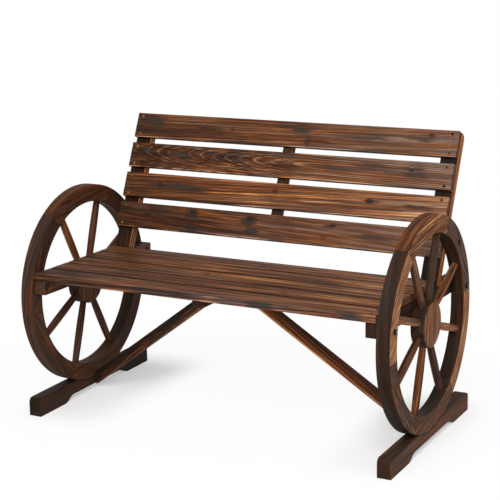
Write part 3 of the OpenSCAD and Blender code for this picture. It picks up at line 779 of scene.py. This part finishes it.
def make_rims():
    for side, sign in SIDES.items():
        plain = scorched_wood(f"rim wood {side}", **RIM_WOODS[side])
        for index, (face, tread, inner) in enumerate(FELLOE_LOOKS[side], 1):
            node = f"felloe_{side}_{index}"
            angle = FELLOE_TURN + FELLOE_SPAN * (index - 0.5)
            out, along, wood = wheel_way(angle), wheel_way(angle + math.pi / 2), plain
            # This segment carries a painted highlight along its top outer edge
            if node == "felloe_right_2":
                wood = scorched_wood("rim wood with a pale streak", arris_wear_and_shading=[PAINTED_HIGHLIGHT_STREAK], **RIM_WOODS[side])
            if node == "felloe_right_3":
                # This segment was sawn askew, so its stripes cross the rim
                askew = math.radians(28)
                along = along * math.cos(askew) + out * math.sin(askew)
            chance = random.Random(node)
            cut = Cut(node, along, out, wheel_centre(side) + out * 0.25,
                      pith=(chance.uniform(-0.20, -0.14), chance.uniform(-0.03, 0.03)),
                      tilt=(chance.uniform(-0.05, 0.05), chance.uniform(-0.1, 0.1)),
                      shade=rim_shade(face, tread, inner), lay=rim_lay(angle), lit=(sign, -0.4, 0.6))
            finish_piece(f"rim_{side}_{index}", felloe_mesh(side, index), cut, wood)


SPOKE_LOOKS = {
    "left": [(0.5, 0.5, 0.36), (0.7, 0.5, 0.30), (0.3, 0.80, 0.42), (0.5, 0.5, 0.36), (0.5, 0.6, 0.28),
             (0.7, 0.5, 0.24), (0.6, 0.5, 0.26), (0.5, 0.5, 0.34)],
    "right": [(0.2, 0.75, 0.48), (0.9, 0.3, 0.26), (0.4, 0.35, 0.38), (0.3, 0.45, 0.52), (0.6, 0.4, 0.34),
              (0.3, 0.75, 0.42), (0.8, 0.3, 0.24), (0.2, 0.55, 0.56)],
}


def make_spokes():
    """The spokes swell between the hub and the rim."""
    wood = scorched_wood("spoke wood", lines=0.26, roughness=0.5)
    start, stop, steps = HUB_R + 0.001, RIM_INNER_R - 0.001, 24
    profile = [(SPOKE_FROM, SPOKE_END_R)]
    for k in range(steps + 1):
        radius = SPOKE_END_R + SPOKE_SWELL * math.sin(math.pi * k / steps)
        profile.append((start + (stop - start) * k / steps, radius))
    profile.append((SPOKE_TO, SPOKE_END_R))
    for side in SIDES:
        for index, look in enumerate(SPOKE_LOOKS[side], 1):
            node = f"spoke_{side}_{index}"
            out = wheel_way(SPOKE_TURN + 2 * math.pi / SPOKES * (index - 1))
            chance = random.Random(node)
            cut = Cut(node, out, ALONG_X, wheel_centre(side) + out * 0.15, look=look,
                      pith=(chance.uniform(-0.05, 0.05), 0.04), tilt=(chance.uniform(-0.05, 0.05), 0.02))
            bm = lathe(wheel_centre(side), out, profile, 28)
            finish_piece(f"{node}_turned", bm, cut, wood)


HUB_EDGE_LOOK = (0.7, 0.5, 0.18)
HUB_FACE_LOOKS = {"left": (0.3, 0.45, 0.40), "right": (0.15, 0.55, 0.535)}


def hub_shade(face):
    """The round edge is darker than the faces."""
    def shade(look, points, normals, places):
        share = np.abs(normals[:, :1])
        return np.array(face) * share + np.array(HUB_EDGE_LOOK) * (1 - share)
    return shade


def make_hubs():
    wood = scorched_wood("hub wood", lines=0.30, split=(0.010, -0.026))
    rounding = bpy.context.scene.bench_wheels.hub_round
    half_length = (HUB_HIGH.x - HUB_LOW.x) / 2
    angles = [math.radians(18 * k) for k in range(6)]
    profile = [(-half_length + rounding * (1 - math.cos(angle)), HUB_R - rounding * (1 - math.sin(angle)))
               for angle in angles]
    profile += [(-place, radius) for place, radius in reversed(profile)]
    for side in SIDES:
        cut = Cut(f"hub_{side}", (0, 0.05, 1), (0, 1, 0), pith=(0.13, 0.02), tilt=(0.03, 0.05),
                  shade=hub_shade(HUB_FACE_LOOKS[side]), lit=(1, 0, 0.3))
        bm = lathe(centre_of(cut.node), ALONG_X, profile, 96)
        finish_piece(f"hub_{side}_turned", bm, cut, wood)


# Seat and back


def seat_shade(look, points, normals, places):
    """The narrow sides between the slats carry painted shade and more char, and the seat is painted lighter
    towards its right end, where the light falls, and turns greyer there.
    """
    side = np.abs(normals @ np.array(SEAT_BACKWARD))
    look[:, 2] += 0.20 * points[:, 0] - 0.46 * side ** 2
    look[:, 1] -= 0.22 * points[:, 0]
    look[:, 0] += 0.3 * side
    return look


def front_slat_shade(look, points, normals, places):
    """The seat's front side is a worn grey brown, and the slat is painted lighter towards its right end,
    where the light falls.
    """
    side = np.clip(normals @ -np.array(SEAT_BACKWARD), 0, 1)
    look[:, 2] += 0.18 * points[:, 0] - 0.16 * side
    look[:, 1] -= 0.26 * side
    look[:, 0] -= 0.20 * side
    return look


def back_shade(rise):
    """The narrow sides between the slats carry painted shade, and the back is painted lighter towards its
    right end, where the light falls, and turns greyer there.
    """
    def shade(look, points, normals, places):
        look[:, 2] += rise * points[:, 0] - 0.26 * np.abs(normals @ np.array(BACK_UP)) ** 2
        look[:, 1] -= np.where(points[:, 0] > 0, 0.75, 0.20) * points[:, 0]
        return look
    return shade


# Each seat slat's look, knots and soot, from the front one
SEAT_SLATS = [
    ((0.45, 0.46, 0.45), [(-0.27, 0.004, 0.008, 0.7)],
     [(0.03, -0.040, 0.05, 0.010, -1.0), (0.20, -0.040, 0.035, 0.010, 1.0), (0.44, -0.036, 0.04, 0.009, 1.0),
      (-0.22, -0.040, 0.05, 0.010, -0.6), (0.02, -0.015, 0.09, 0.010, 0.7), (-0.44, 0.0, 0.10, 0.02, 0.6),
      (0.36, -0.028, 0.10, 0.012, 0.6)]),
    ((0.45, 0.59, 0.44), [(0.21, -0.010, 0.006, 0.8), (-0.36, 0.015, 0.006, 0.6)],
     [(0.38, 0.010, 0.10, 0.010, -0.7), (0.05, 0.010, 0.12, 0.012, 0.7), (-0.30, -0.012, 0.09, 0.012, 0.6)]),
    ((0.4, 0.63, 0.46), [(-0.08, 0.010, 0.007, 0.8)],
     [(0.05, 0.010, 0.14, 0.009, -0.7), (-0.22, -0.02, 0.10, 0.010, 0.6), (0.26, 0.015, 0.08, 0.010, 0.6)]),
    ((0.4, 0.66, 0.47), [(0.33, 0.006, 0.007, 0.8)],
     [(-0.15, 0.012, 0.12, 0.008, -0.6), (0.40, 0.0, 0.10, 0.010, -0.7), (0.16, -0.01, 0.10, 0.010, 0.6)]),
    ((0.4, 0.66, 0.47), [(0.02, -0.014, 0.007, 0.8), (0.41, 0.012, 0.006, 0.6)],
     [(0.24, 0.0, 0.18, 0.010, -0.7), (-0.1, 0.01, 0.12, 0.010, 0.5), (0.40, 0.02, 0.08, 0.010, 0.6)]),
]

# Each back slat's look, how much painted light brightens its right end, its pith and tilt, and what its wood
# is made of, from the top one
BACK_SLATS = [
    ((0.4, 0.58, 0.405), 0.20, (0.13, -0.05), (0.010, 0.01), {
        "calm": 0.35,
        "knots": [(-0.183, 0.004, 0.006, 0.9), (0.443, 0.020, 0.006, 1.0), (-0.279, 0.002, 0.004, 0.5)],
        "soot": [(-0.475, 0.012, 0.050, 0.018, 1.3), (0.045, 0.016, 0.030, 0.016, 1.3),
                 (0.068, -0.020, 0.010, 0.020, 0.9), (-0.27, 0.002, 0.05, 0.007, 0.5),
                 (0.42, 0.014, 0.05, 0.013, 1.0), (0.24, 0.0, 0.10, 0.009, 0.5)]}),
    ((0.35, 0.58, 0.43), 0.30, (0.006, -0.014), (-0.014, 0.0), {
        "calm": 0.45, "lines": -0.42, "sweep": (-0.72, 0.12, -0.052), "knots": [(0.40, 0.012, 0.005, 0.7)],
        "soot": [(-0.19, 0.010, 0.07, 0.011, 0.7), (-0.35, 0.006, 0.05, 0.012, 0.6),
                 (-0.47, 0.012, 0.03, 0.012, 0.6), (0.41, 0.006, 0.045, 0.018, 0.9),
                 (0.30, 0.012, 0.08, 0.012, 0.7), (0.16, 0.0, 0.12, 0.010, 0.5)]}),
    ((0.3, 0.70, 0.485), 0.28, (0.10, -0.06), (0.03, 0.0), {
        "lines": 0.36,
        "knots": [(-0.395, 0.003, 0.008, 0.8), (-0.007, 0.013, 0.007, 1.0), (0.290, 0.008, 0.008, 1.0)],
        "soot": [(-0.10, -0.006, 0.10, 0.020, -0.9), (0.10, 0.002, 0.10, 0.015, -0.9),
                 (0.44, -0.022, 0.06, 0.010, -0.5), (-0.30, 0.003, 0.11, 0.009, 1.3),
                 (-0.41, 0.004, 0.03, 0.010, 0.7), (0.30, 0.006, 0.025, 0.008, 0.9),
                 (0.44, 0.0, 0.09, 0.0065, 2.3), (0.19, -0.001, 0.15, 0.0032, 1.2),
                 (-0.46, -0.020, 0.04, 0.008, 0.5)]}),
    ((0.4, 0.58, 0.395), 0.34, (0.14, -0.04), (-0.035, 0.02), {
        "calm": 0.40,
        "knots": [(-0.417, 0.002, 0.007, 0.9), (-0.264, 0.024, 0.006, 0.9), (-0.071, 0.018, 0.008, 1.0),
                  (0.194, 0.023, 0.005, 0.9), (0.170, -0.013, 0.006, 0.5)],
        "soot": [(-0.264, 0.018, 0.024, 0.019, 0.9), (-0.252, -0.020, 0.024, 0.018, 0.7),
                 (-0.071, 0.016, 0.024, 0.018, 0.9), (-0.061, -0.018, 0.026, 0.012, 0.9),
                 (0.19, 0.020, 0.02, 0.009, 0.7), (0.34, 0.0, 0.08, 0.010, 0.6),
                 (-0.43, 0.004, 0.022, 0.010, 0.5)]}),
]


def make_seat():
    half_w, half_t = half_sizes("seat_slat_1", SEAT_BACKWARD, SEAT_UP)
    # Each slat's front top arris is worn bright with a painted highlight, and a broad dark band of painted
    # shade runs along its rear top edge beside the gap
    arris_wear_and_shading = [(-half_w + 0.0010, half_t, 0.0030, 0.14), (half_w, half_t, 0.0095, -0.80)]
    # The front slat's lower front arris carries painted shade
    low_arris = (-half_w, -half_t, 0.0040, -0.5)
    for index, (look, knots, soot) in enumerate(SEAT_SLATS, 1):
        front = index == 1
        node = f"seat_slat_{index}"
        chance = random.Random(node)
        cut = Cut(node, ALONG_X, SEAT_BACKWARD, look=look, shade=front_slat_shade if front else seat_shade,
                  pith=(chance.choice((-1, 1)) * chance.uniform(0.09, 0.13), -0.04),
                  tilt=(chance.uniform(-0.02, 0.02), chance.uniform(-0.02, 0.02)), lit=-ALONG_X)
        # The front slat adds its lower band of painted shade
        worn = arris_wear_and_shading + [low_arris] if front else arris_wear_and_shading
        wood = scorched_wood(f"seat slat {index} wood", knots, soot, worn, fine=1.1 if front else 1.45)
        make_board(f"seat_board_{index}", wood, cut)
    wood = scorched_wood("batten wood", lines=0.25)
    # The battens are painted dark, as shade behind and under the slats
    for node, along, look in (("seat_batten", SEAT_BACKWARD, (0.8, 0.5, 0.20)),
                              ("back_batten", BACK_UP, (0.5, 0.6, 0.26))):
        make_board(f"{node}_bar", wood, Cut(node, along, ALONG_X, look=look))


def make_back():
    half_w, half_t = half_sizes("back_slat_1", BACK_UP, BACK_FRONT)
    # Both front arrises are worn bright and carry a painted highlight, the lower one most
    arris_wear_and_shading = [(-half_w + 0.0008, half_t, 0.0034, 0.34), (half_w - 0.0006, half_t, 0.0020, 0.14)]
    for index, (look, rise, pith, tilt, finish) in enumerate(BACK_SLATS, 1):
        cut = Cut(f"back_slat_{index}", ALONG_X, BACK_UP, pith=pith, tilt=tilt, look=look,
                  shade=back_shade(rise), lit=BACK_FRONT * 0.6 - BACK_UP * 0.8)
        wood = scorched_wood(f"back slat {index} wood", arris_wear_and_shading=arris_wear_and_shading, **finish)
        make_board(f"back_board_{index}", wood, cut)


# Frame

RAIL_LOOKS = {"left": (0.5, 0.4, 0.38), "right": (0.6, 0.45, 0.13)}
# The right stile's outer side is painted light, where the light falls on it
STILE_OUTER_LOOKS = {"left": (0.5, 0.6, 0.44), "right": (0.15, 1.15, 0.64)}
STILE_INNER_LOOK = (0.3, 0.7, 0.56)
SKID_LOOKS = {"left": (0.8, 0.5, 0.02), "right": (0.45, 0.62, 0.23)}
BRACE_LOOKS = {"left": (0.6, 0.6, 0.24), "right": (0.3, 1.05, 0.49)}


def stile_shade(side):
    """The stiles' sides are lighter than their fronts, and the right stile's outer side carries painted
    light; the fronts are painted dark, as shade behind the slats.
    """
    def shade(look, points, normals, places):
        outer = np.clip(normals[:, :1] * SIDES[side], 0, 1)
        inner = np.clip(-normals[:, :1] * SIDES[side], 0, 1)
        bright, warm = np.array(STILE_OUTER_LOOKS[side]), np.array(STILE_INNER_LOOK)
        return look * (1 - outer - inner) + bright * outer + warm * inner
    return shade


def brace_shade(look, points, normals, places):
    """A brace is dark along its upper edge."""
    look[:, 2] -= places[:, 1] * 13.0
    look[:, 0] += places[:, 1] * 20.0
    return look


def skid_shade(look, points, normals, places):
    """A skid's upright sides are a little lighter than its top."""
    look[:, 2] += 0.12 * np.abs(normals[:, 0])
    return look


def make_frame():
    """The rails, stiles, skids and braces, which have one of each on either side."""
    wood = scorched_wood("frame wood", lines=0.34)
    skid_wood = scorched_wood("skid wood", lines=0.20, roughness=0.6, fine=0.66)
    brace_wood = scorched_wood("brace wood", lines=0.34, fine=1.5)
    for side in SIDES:
        rail = Cut(f"seat_rail_{side}", SEAT_BACKWARD, SEAT_UP, look=RAIL_LOOKS[side])
        make_board(f"{rail.node}_bar", wood, rail)
        # The stile's front is painted dark, as shade behind the slats
        stile = Cut(f"back_stile_{side}", BACK_UP, ALONG_X, pith=(0.02, -0.12), look=(0.3, 0.6, -0.04),
                    shade=stile_shade(side))
        make_board(f"{stile.node}_bar", wood, stile)
        skid = Cut(f"skid_{side}", (0, 1, 0), (0, 0, 1), pith=(-0.09, 0.03), look=SKID_LOOKS[side],
                   shade=skid_shade)
        make_board(f"{skid.node}_runner", skid_wood, skid)
        # A brace runs from its outer, rear and lower corner to the opposite one
        low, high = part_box(f"brace_{side}")
        along = Vector(((low.x - high.x) * SIDES[side], low.y - high.y, high.z - low.z))
        brace = Cut(f"brace_{side}", along, (0, 0, 1), pith=(0.10, 0.05), look=BRACE_LOOKS[side],
                    shade=brace_shade, lit=(0, -0.5, -0.8))
        make_board(f"{brace.node}_bar", brace_wood, brace, least=0.05)


# Fittings, made by trees of geometry nodes

HEAD_HEIGHT = 0.0055
NUT_HEIGHT = 0.0065
LAG_SHANK = 0.006
SCREW_SIZES = {"Head Height": 0.0022, "Recess Width": 0.0009, "Recess Depth": 0.0014}
WASHER_SIZES = {"Diameter": 0.02, "Thickness": 0.0016, "Bore": 0.0083}
DOWEL_SIZES = {"Diameter": 0.008, "Length": 0.05, "Chamfer": 0.0008}


class Plan(Nodes):
    """A tree of geometry nodes under construction, with an input for each of its sizes."""

    def __init__(self, name, sizes):
        super().__init__(bpy.data.node_groups.new(name, "GeometryNodeTree"))
        face = self.tree.interface
        face.new_socket("Geometry", in_out="INPUT", socket_type="NodeSocketGeometry")
        face.new_socket("Geometry", in_out="OUTPUT", socket_type="NodeSocketGeometry")
        self.sizes = {}
        for size, value in sizes.items():
            socket = face.new_socket(size, in_out="INPUT", socket_type="NodeSocketFloat")
            self.sizes[socket.identifier] = value
        self.inlet = self.add("NodeGroupInput").socket.node

    def given(self, name):
        """One of the tree's inputs."""
        return Field(self, self.inlet.outputs[name])

    def moved(self, mesh, z):
        sockets = {"Geometry": mesh, "Translation": self.vector(0.0, 0.0, z)}
        return self.add("GeometryNodeTransform", {}, sockets)

    def drum(self, radius, depth, sides, z):
        """A cylinder that starts at z and goes up."""
        mesh = self.add("GeometryNodeMeshCylinder", {"fill_type": "NGON"},
                        {"Vertices": sides, "Radius": radius, "Depth": depth})
        return self.moved(mesh, depth * 0.5 + z)

    def cone(self, low, high, depth, sides, z):
        """A cone that starts at z and goes up, with its radius there and at its upper end."""
        mesh = self.add("GeometryNodeMeshCone", {"fill_type": "NGON"},
                        {"Vertices": sides, "Radius Top": high, "Radius Bottom": low, "Depth": depth})
        return self.moved(mesh, z)

    def cut(self, operation, first, *others):
        settings = {"operation": operation, "solver": "EXACT"}
        sockets = {"Mesh 2": [first, *others]}
        if operation == "DIFFERENCE":
            sockets = {"Mesh 1": first, "Mesh 2": list(others)}
        return self.add("GeometryNodeMeshBoolean", settings, sockets)

    def kept(self, name, kind):
        """What each point keeps under this name."""
        return self.add("GeometryNodeInputNamedAttribute", {"data_type": kind}, {"Name": name})

    def placed(self, mesh, stretched=False):
        """Copies of a mesh at the points, turned and, if so wanted, stretched as each point says."""
        turn = self.add("FunctionNodeEulerToRotation", {}, {0: self.kept("facing", "FLOAT_VECTOR")})
        sockets = {"Points": self.given("Geometry"), "Instance": mesh, "Rotation": turn}
        if stretched:
            sockets["Scale"] = self.vector(1.0, 1.0, self.kept("reach", "FLOAT"))
        return self.add("GeometryNodeInstanceOnPoints", {}, sockets)

    def with_shanks(self, head, radius, sides):
        """Copies of a head, each with a shank as long as its point says."""
        shanks = self.placed(self.drum(radius, 0.999, sides, -1.0), stretched=True)
        return self.add("GeometryNodeJoinGeometry", {}, {"Geometry": [self.placed(head), shanks]})

    def done(self, geometry, material):
        """Ends the tree in a plain mesh of this material."""
        real = self.add("GeometryNodeRealizeInstances", {}, {0: geometry})
        flat = self.add("GeometryNodeSetShadeSmooth", {}, {"Geometry": real, "Shade Smooth": False})
        painted = self.add("GeometryNodeSetMaterial", {}, {"Geometry": flat, "Material": material})
        self.add("NodeGroupOutput", {}, {"Geometry": painted})
        return self


def wood_screw_plan(name, material, flat=False):
    """A wood screw with a cross recess. Its head's face is at the point, and its shank goes in."""
    fittings = bpy.context.scene.bench_fittings
    plan = Plan(name, {"Head Diameter": fittings.screw_head, "Shank Diameter": fittings.screw_shank,
                       **SCREW_SIZES})
    head_r, shank_r = plan.given("Head Diameter") * 0.5, plan.given("Shank Diameter") * 0.5
    height, width = plan.given("Head Height"), plan.given("Recess Width")
    reach, deep = head_r * 1.12, plan.given("Recess Depth") * 2.0
    head = plan.cone(head_r * 0.94 if flat else shank_r, head_r, height, 32, -height)
    bars = [plan.add("GeometryNodeMeshCube", {}, {"Size": plan.vector(*size)})
            for size in ((reach, width, deep), (width, reach, deep))]
    return plan.done(plan.with_shanks(plan.cut("DIFFERENCE", head, *bars), shank_r, 16), material)


def hexagon_plan(name, material, height, shank_d, nut=False):
    """A hexagonal head and its shank, or a nut, with chamfered corners. Its outer face is at the point."""
    plan = Plan(name, {"Across Flats": bpy.context.scene.bench_fittings.hexagon, "Height": height,
                       "Shank Diameter": shank_d})
    flat, tall, shank = plan.given("Across Flats") * 0.5, plan.given("Height"), plan.given("Shank Diameter")
    rim, spread = flat * 0.97, flat + tall * 1.9
    prism = plan.drum(flat * (1 / math.cos(math.radians(30))), tall, 6, -tall)
    body = plan.cut("INTERSECT", prism, plan.cone(spread, rim, tall, 48, -tall))
    if not nut:
        return plan.done(plan.with_shanks(body, shank * 0.5, 24), material)
    body = plan.cut("INTERSECT", body, plan.cone(rim, spread, tall, 48, -tall))
    body = plan.cut("DIFFERENCE", body, plan.drum(shank * 0.52, tall * 3.0, 32, tall * -2.0))
    return plan.done(plan.placed(body), material)


def washer_plan(name, material):
    """A flat ring. Its outer face is at the point."""
    plan = Plan(name, WASHER_SIZES)
    tall = plan.given("Thickness")
    disc = plan.drum(plan.given("Diameter") * 0.5, tall, 48, -tall)
    hole = plan.drum(plan.given("Bore") * 0.5, tall * 4.0, 32, tall * -2.5)
    return plan.done(plan.placed(plan.cut("DIFFERENCE", disc, hole)), material)


def dowel_plan(name, material):
    """A dowel with chamfered ends. Its upper end is at the point."""
    plan = Plan(name, DOWEL_SIZES)
    radius, length, chamfer = plan.given("Diameter") * 0.5, plan.given("Length"), plan.given("Chamfer")
    small = radius - chamfer
    body = plan.drum(radius, length - chamfer * 2.0, 32, chamfer - length)
    top = plan.cone(radius, small, chamfer, 32, -chamfer)
    foot = plan.cone(small, radius, chamfer, 32, -length)
    kept = plan.add("GeometryNodeStoreNamedAttribute", {"data_type": "FLOAT_VECTOR", "domain": "POINT"},
                    {"Geometry": plan.cut("UNION", body, top, foot), "Name": "turned",
                     "Value": plan.add("GeometryNodeInputPosition")})
    return plan.done(plan.placed(kept), material)


def fitting_places(node, out):
    """Where each fitting of a CAD node has its head, which way the head faces, and how long the fitting
    is. Out is that way, or a function that gives it for the fitting's middle."""
    bm = merged_copy(node)
    places = []
    for group in islands(bm.verts, lambda v: [edge.other_vert(v) for edge in v.link_edges]):
        points = [v.co.copy() for v in group]
        way = out(sum(points, Vector()) / len(points)) if callable(out) else out
        heights = [point.dot(way) for point in points]
        top = max(heights)
        face = [point for point, height in zip(points, heights) if height > top - 2e-5]
        places.append((sum(face, Vector()) / len(face), way, top - min(heights)))
    bm.free()
    return places


def set_fittings(name, plan, node, way, spin):
    """Runs a plan over the places of a node's fittings and keeps the result as a plain mesh."""
    spots, ways, reaches = zip(*fitting_places(node, way))
    mesh = bpy.data.meshes.new(name + " places")
    mesh.from_pydata([tuple(spot) for spot in spots], [], [])
    chance = random.Random(name)
    turns = [Quaternion((0, 0, 1), chance.uniform(0, math.pi) if spin else 0) for _ in ways]
    keep_vector(mesh, "facing", [tuple((way.to_track_quat("Z", "Y") @ turn).to_euler())
                                 for way, turn in zip(ways, turns)])
    mesh.attributes.new("reach", "FLOAT", "POINT").data.foreach_set("value", reaches)
    maker = new_object(name + "_maker", mesh)
    modifier = maker.modifiers.new("Fittings", "NODES")
    modifier.node_group = plan.tree
    for identifier, value in plan.sizes.items():
        modifier[identifier] = value
    view = bpy.context.evaluated_depsgraph_get()
    made = bpy.data.meshes.new_from_object(maker.evaluated_get(view), preserve_all_data_layers=True,
                                           depsgraph=view)
    bpy.data.objects.remove(maker)
    bpy.data.meshes.remove(mesh)
    for extra in [a.name for a in made.attributes if a.name in ("facing", "reach")]:
        made.attributes.remove(made.attributes[extra])
    made.name = name
    set_piece(name, made, node, 30)


def outwards(middle):
    return Vector((math.copysign(1, middle.x), 0, 0))


def inwards(middle):
    return -outwards(middle)


def batten_screw_way(middle):
    """The lower screws go up into the seat, and the upper ones into the back."""
    return -SEAT_UP if middle.z < 0.45 else -BACK_FRONT


def brace_screw_way(middle):
    """The upper screws go up into the seat, and the lower ones out into the skids."""
    return -SEAT_UP if middle.z > 0.2 else inwards(middle)


def along_rim(middle):
    return Vector((0, WHEEL_Z - middle.z, middle.y - WHEEL_Y)).normalized()


def make_fittings():
    """The bolts' heads lie on the rims, and their nuts on washers inside the frame."""
    bolt_d = bpy.context.scene.bench_fittings.bolt
    steel, zinc = dark_steel("blackened steel"), yellow_zinc("yellow zinc")
    dull_zinc = yellow_zinc("dull zinc", dirt_share=0.85)
    bolt = hexagon_plan("Bolt", dark_steel("threaded steel", thread=True), HEAD_HEIGHT, bolt_d)
    nut = hexagon_plan("Nut", steel, NUT_HEIGHT, bolt_d, nut=True)
    washer = washer_plan("Washer", steel)
    lag = hexagon_plan("Lag screw", steel, HEAD_HEIGHT, LAG_SHANK)
    bright = wood_screw_plan("Countersunk screw", zinc)
    dull = wood_screw_plan("Dull countersunk screw", dull_zinc)
    flat = wood_screw_plan("Flat headed screw", dull_zinc, flat=True)
    dowel = dowel_plan("Dowel", dowel_wood("dowel wood"))
    for name, plan, node, way, slot in (
            ("bolts_through_rims", bolt, "frame_bolts", outwards, "steel"),
            ("nuts_in_frame", nut, "frame_nuts", inwards, "steel"),
            ("washers_in_frame", washer, "frame_washers", inwards, "steel"),
            ("stile_foot_screws", lag, "foot_screws", inwards, "steel"),
            ("skid_recess_screws", lag, "skid_screws", Vector((0, 0, -1)), "steel"),
            ("back_slat_screws", bright, "back_screws", BACK_FRONT, "zinc"),
            ("seat_slat_screws", dull, "seat_screws", SEAT_UP, "zinc"),
            ("batten_fixing_screws", dull, "batten_screws", batten_screw_way, "zinc"),
            ("brace_fixing_screws", flat, "brace_screws", brace_screw_way, "zinc"),
            ("rim_joint_dowels", dowel, "felloe_dowels", along_rim, "dowel_wood")):
        set_fittings(name, plan, node, way, spin=plan is not dowel)


# Stage

FLOOR_REACH = 9
LAMP_PLACE = Vector((1.3, -3.1, 2.7))
LAMP_AIM = Vector((0, 0, 0.35))
LAMP_SIZE = 2.4
CAMERA_PLACE = (1.8274, -3.3820, 1.4007)
# Degrees round from the front, up, and rolled
CAMERA_ANGLES = (28.28, 13.51, -1.143)


def seen_directly(f):
    """1 for what the camera sees, also in a reflection or through glass."""
    return most([f.add("ShaderNodeLightPath", {}, {}, name)
                 for name in ("Is Camera Ray", "Is Glossy Ray", "Is Transmission Ray")])


def make_floor():
    """A pale floor that fades to white and keeps a soft shadow."""
    stage = bpy.context.scene.bench_stage
    mesh = bpy.data.meshes.new("floor")
    corners = [(x * FLOOR_REACH, y * FLOOR_REACH, 0) for x, y in ((-1, -1), (1, -1), (1, 1), (-1, 1))]
    mesh.from_pydata(corners, [], [(0, 1, 2, 3)])
    f = Finish("pale floor")
    x, y, _ = f.parts(f.add("ShaderNodeTexCoord", {}, {}, "Object"))
    plain = f.add("ShaderNodeBsdfDiffuse", {}, {"Color": (*stage.floor_tint, 1)})
    white = f.add("ShaderNodeEmission", {}, {"Color": (1, 1, 1, 1), "Strength": 1.0})
    far = (x * x * 0.6 + y * y).root().between(0.6, 1.0)
    # The shadow stays strong where the skids touch the floor
    touch = (x.size() - 0.48).size().between(0.20, 0.04) * y.size().between(0.40, 0.20)
    glow = stage.floor_glow + far * (1 - stage.floor_glow) - touch * 0.55
    shown = f.add("ShaderNodeMixShader", {}, {0: seen_directly(f) * glow, 1: plain, 2: white})
    f.add("ShaderNodeOutputMaterial", {}, {"Surface": shown})
    mesh.materials.append(f.owner)
    new_object("floor", mesh)


def make_light():
    """Even light from all round, which looks white to the camera, and one large lamp."""
    stage = bpy.context.scene.bench_stage
    world = bpy.data.worlds.new("studio")
    bpy.context.scene.world = world
    f = Finish(world.name, world)
    strength = seen_directly(f) * (1 - stage.sky) + stage.sky
    light = f.add("ShaderNodeBackground", {}, {"Color": (1, 1, 1, 1), "Strength": strength})
    f.add("ShaderNodeOutputWorld", {}, {"Surface": light})
    lamp = bpy.data.lights.new("key", "AREA")
    lamp.shape, lamp.size, lamp.energy = "DISK", LAMP_SIZE, stage.key
    key = new_object("key", lamp)
    key.location, key.rotation_mode = LAMP_PLACE, "QUATERNION"
    key.rotation_quaternion = (LAMP_PLACE - LAMP_AIM).to_track_quat("Z", "Y")


def make_camera():
    """The camera stands where the photograph was taken from."""
    azimuth, elevation, roll = (math.radians(angle) for angle in CAMERA_ANGLES)
    sight = Vector((-math.sin(azimuth) * math.cos(elevation), math.cos(azimuth) * math.cos(elevation),
                    -math.sin(elevation)))
    level = Vector((math.cos(azimuth), math.sin(azimuth), 0))
    upright = level.cross(sight)
    right = level * math.cos(roll) + upright * math.sin(roll)
    up = upright * math.cos(roll) - level * math.sin(roll)
    data = bpy.data.cameras.new("camera")
    data.sensor_width, data.lens = 36, bpy.context.scene.bench_stage.lens
    data.clip_start, data.clip_end = 0.05, 60
    camera = new_object("camera", data)
    turn = Matrix((right, up, -sight)).transposed().to_4x4()
    camera.matrix_world = Matrix.Translation(CAMERA_PLACE) @ turn
    bpy.context.scene.camera = camera
    bpy.context.scene.view_settings.view_transform = "Standard"


# Operators and panel


class BENCH_OT_wheels(bpy.types.Operator):
    """Dress the rims, spokes and hubs"""

    bl_idname = "bench.wheels"
    bl_label = "Wheels"

    def execute(self, context):
        make_rims()
        make_spokes()
        make_hubs()
        return {"FINISHED"}


class BENCH_OT_seat(bpy.types.Operator):
    """Dress the seat slats and the two middle battens"""

    bl_idname = "bench.seat"
    bl_label = "Seat"

    def execute(self, context):
        make_seat()
        return {"FINISHED"}


class BENCH_OT_back(bpy.types.Operator):
    """Dress the back slats"""

    bl_idname = "bench.back"
    bl_label = "Back"

    def execute(self, context):
        make_back()
        return {"FINISHED"}


class BENCH_OT_frame(bpy.types.Operator):
    """Dress the rails, stiles, skids and braces"""

    bl_idname = "bench.frame"
    bl_label = "Frame"

    def execute(self, context):
        make_frame()
        return {"FINISHED"}


class BENCH_OT_fittings(bpy.types.Operator):
    """Make the bolts, nuts, washers, screws and dowels"""

    bl_idname = "bench.fittings"
    bl_label = "Fittings"

    def execute(self, context):
        make_fittings()
        return {"FINISHED"}


class BENCH_OT_stage(bpy.types.Operator):
    """Make the floor, the light and the camera"""

    bl_idname = "bench.stage"
    bl_label = "Stage"

    def execute(self, context):
        make_floor()
        make_light()
        make_camera()
        return {"FINISHED"}


OPERATORS = [BENCH_OT_wheels, BENCH_OT_seat, BENCH_OT_back, BENCH_OT_frame, BENCH_OT_fittings, BENCH_OT_stage]


class BENCH_PT_panel(bpy.types.Panel):
    """Lists what the bench is made of"""

    bl_idname = "BENCH_PT_panel"
    bl_label = "Wagon Wheel Bench"
    bl_space_type = "VIEW_3D"
    bl_region_type = "UI"
    bl_category = "Bench"

    def draw(self, context):
        for operator in OPERATORS:
            self.layout.operator(operator.bl_idname)
        for name, group in SETTINGS.items():
            box = self.layout.box()
            for setting in group.__annotations__:
                box.prop(getattr(context.scene, name), setting)


def register():
    for cls in [*SETTINGS.values(), *OPERATORS, BENCH_PT_panel]:
        bpy.utils.register_class(cls)
    for name, group in SETTINGS.items():
        setattr(bpy.types.Scene, name, bpy.props.PointerProperty(type=group))


def unregister():
    for name in SETTINGS:
        delattr(bpy.types.Scene, name)
    for cls in reversed([*SETTINGS.values(), *OPERATORS, BENCH_PT_panel]):
        bpy.utils.unregister_class(cls)


def main():
    register()
    bpy.ops.bench.stage()
    bpy.ops.bench.wheels()
    bpy.ops.bench.frame()
    bpy.ops.bench.seat()
    bpy.ops.bench.back()
    bpy.ops.bench.fittings()


if __name__ == "__main__":
    main()
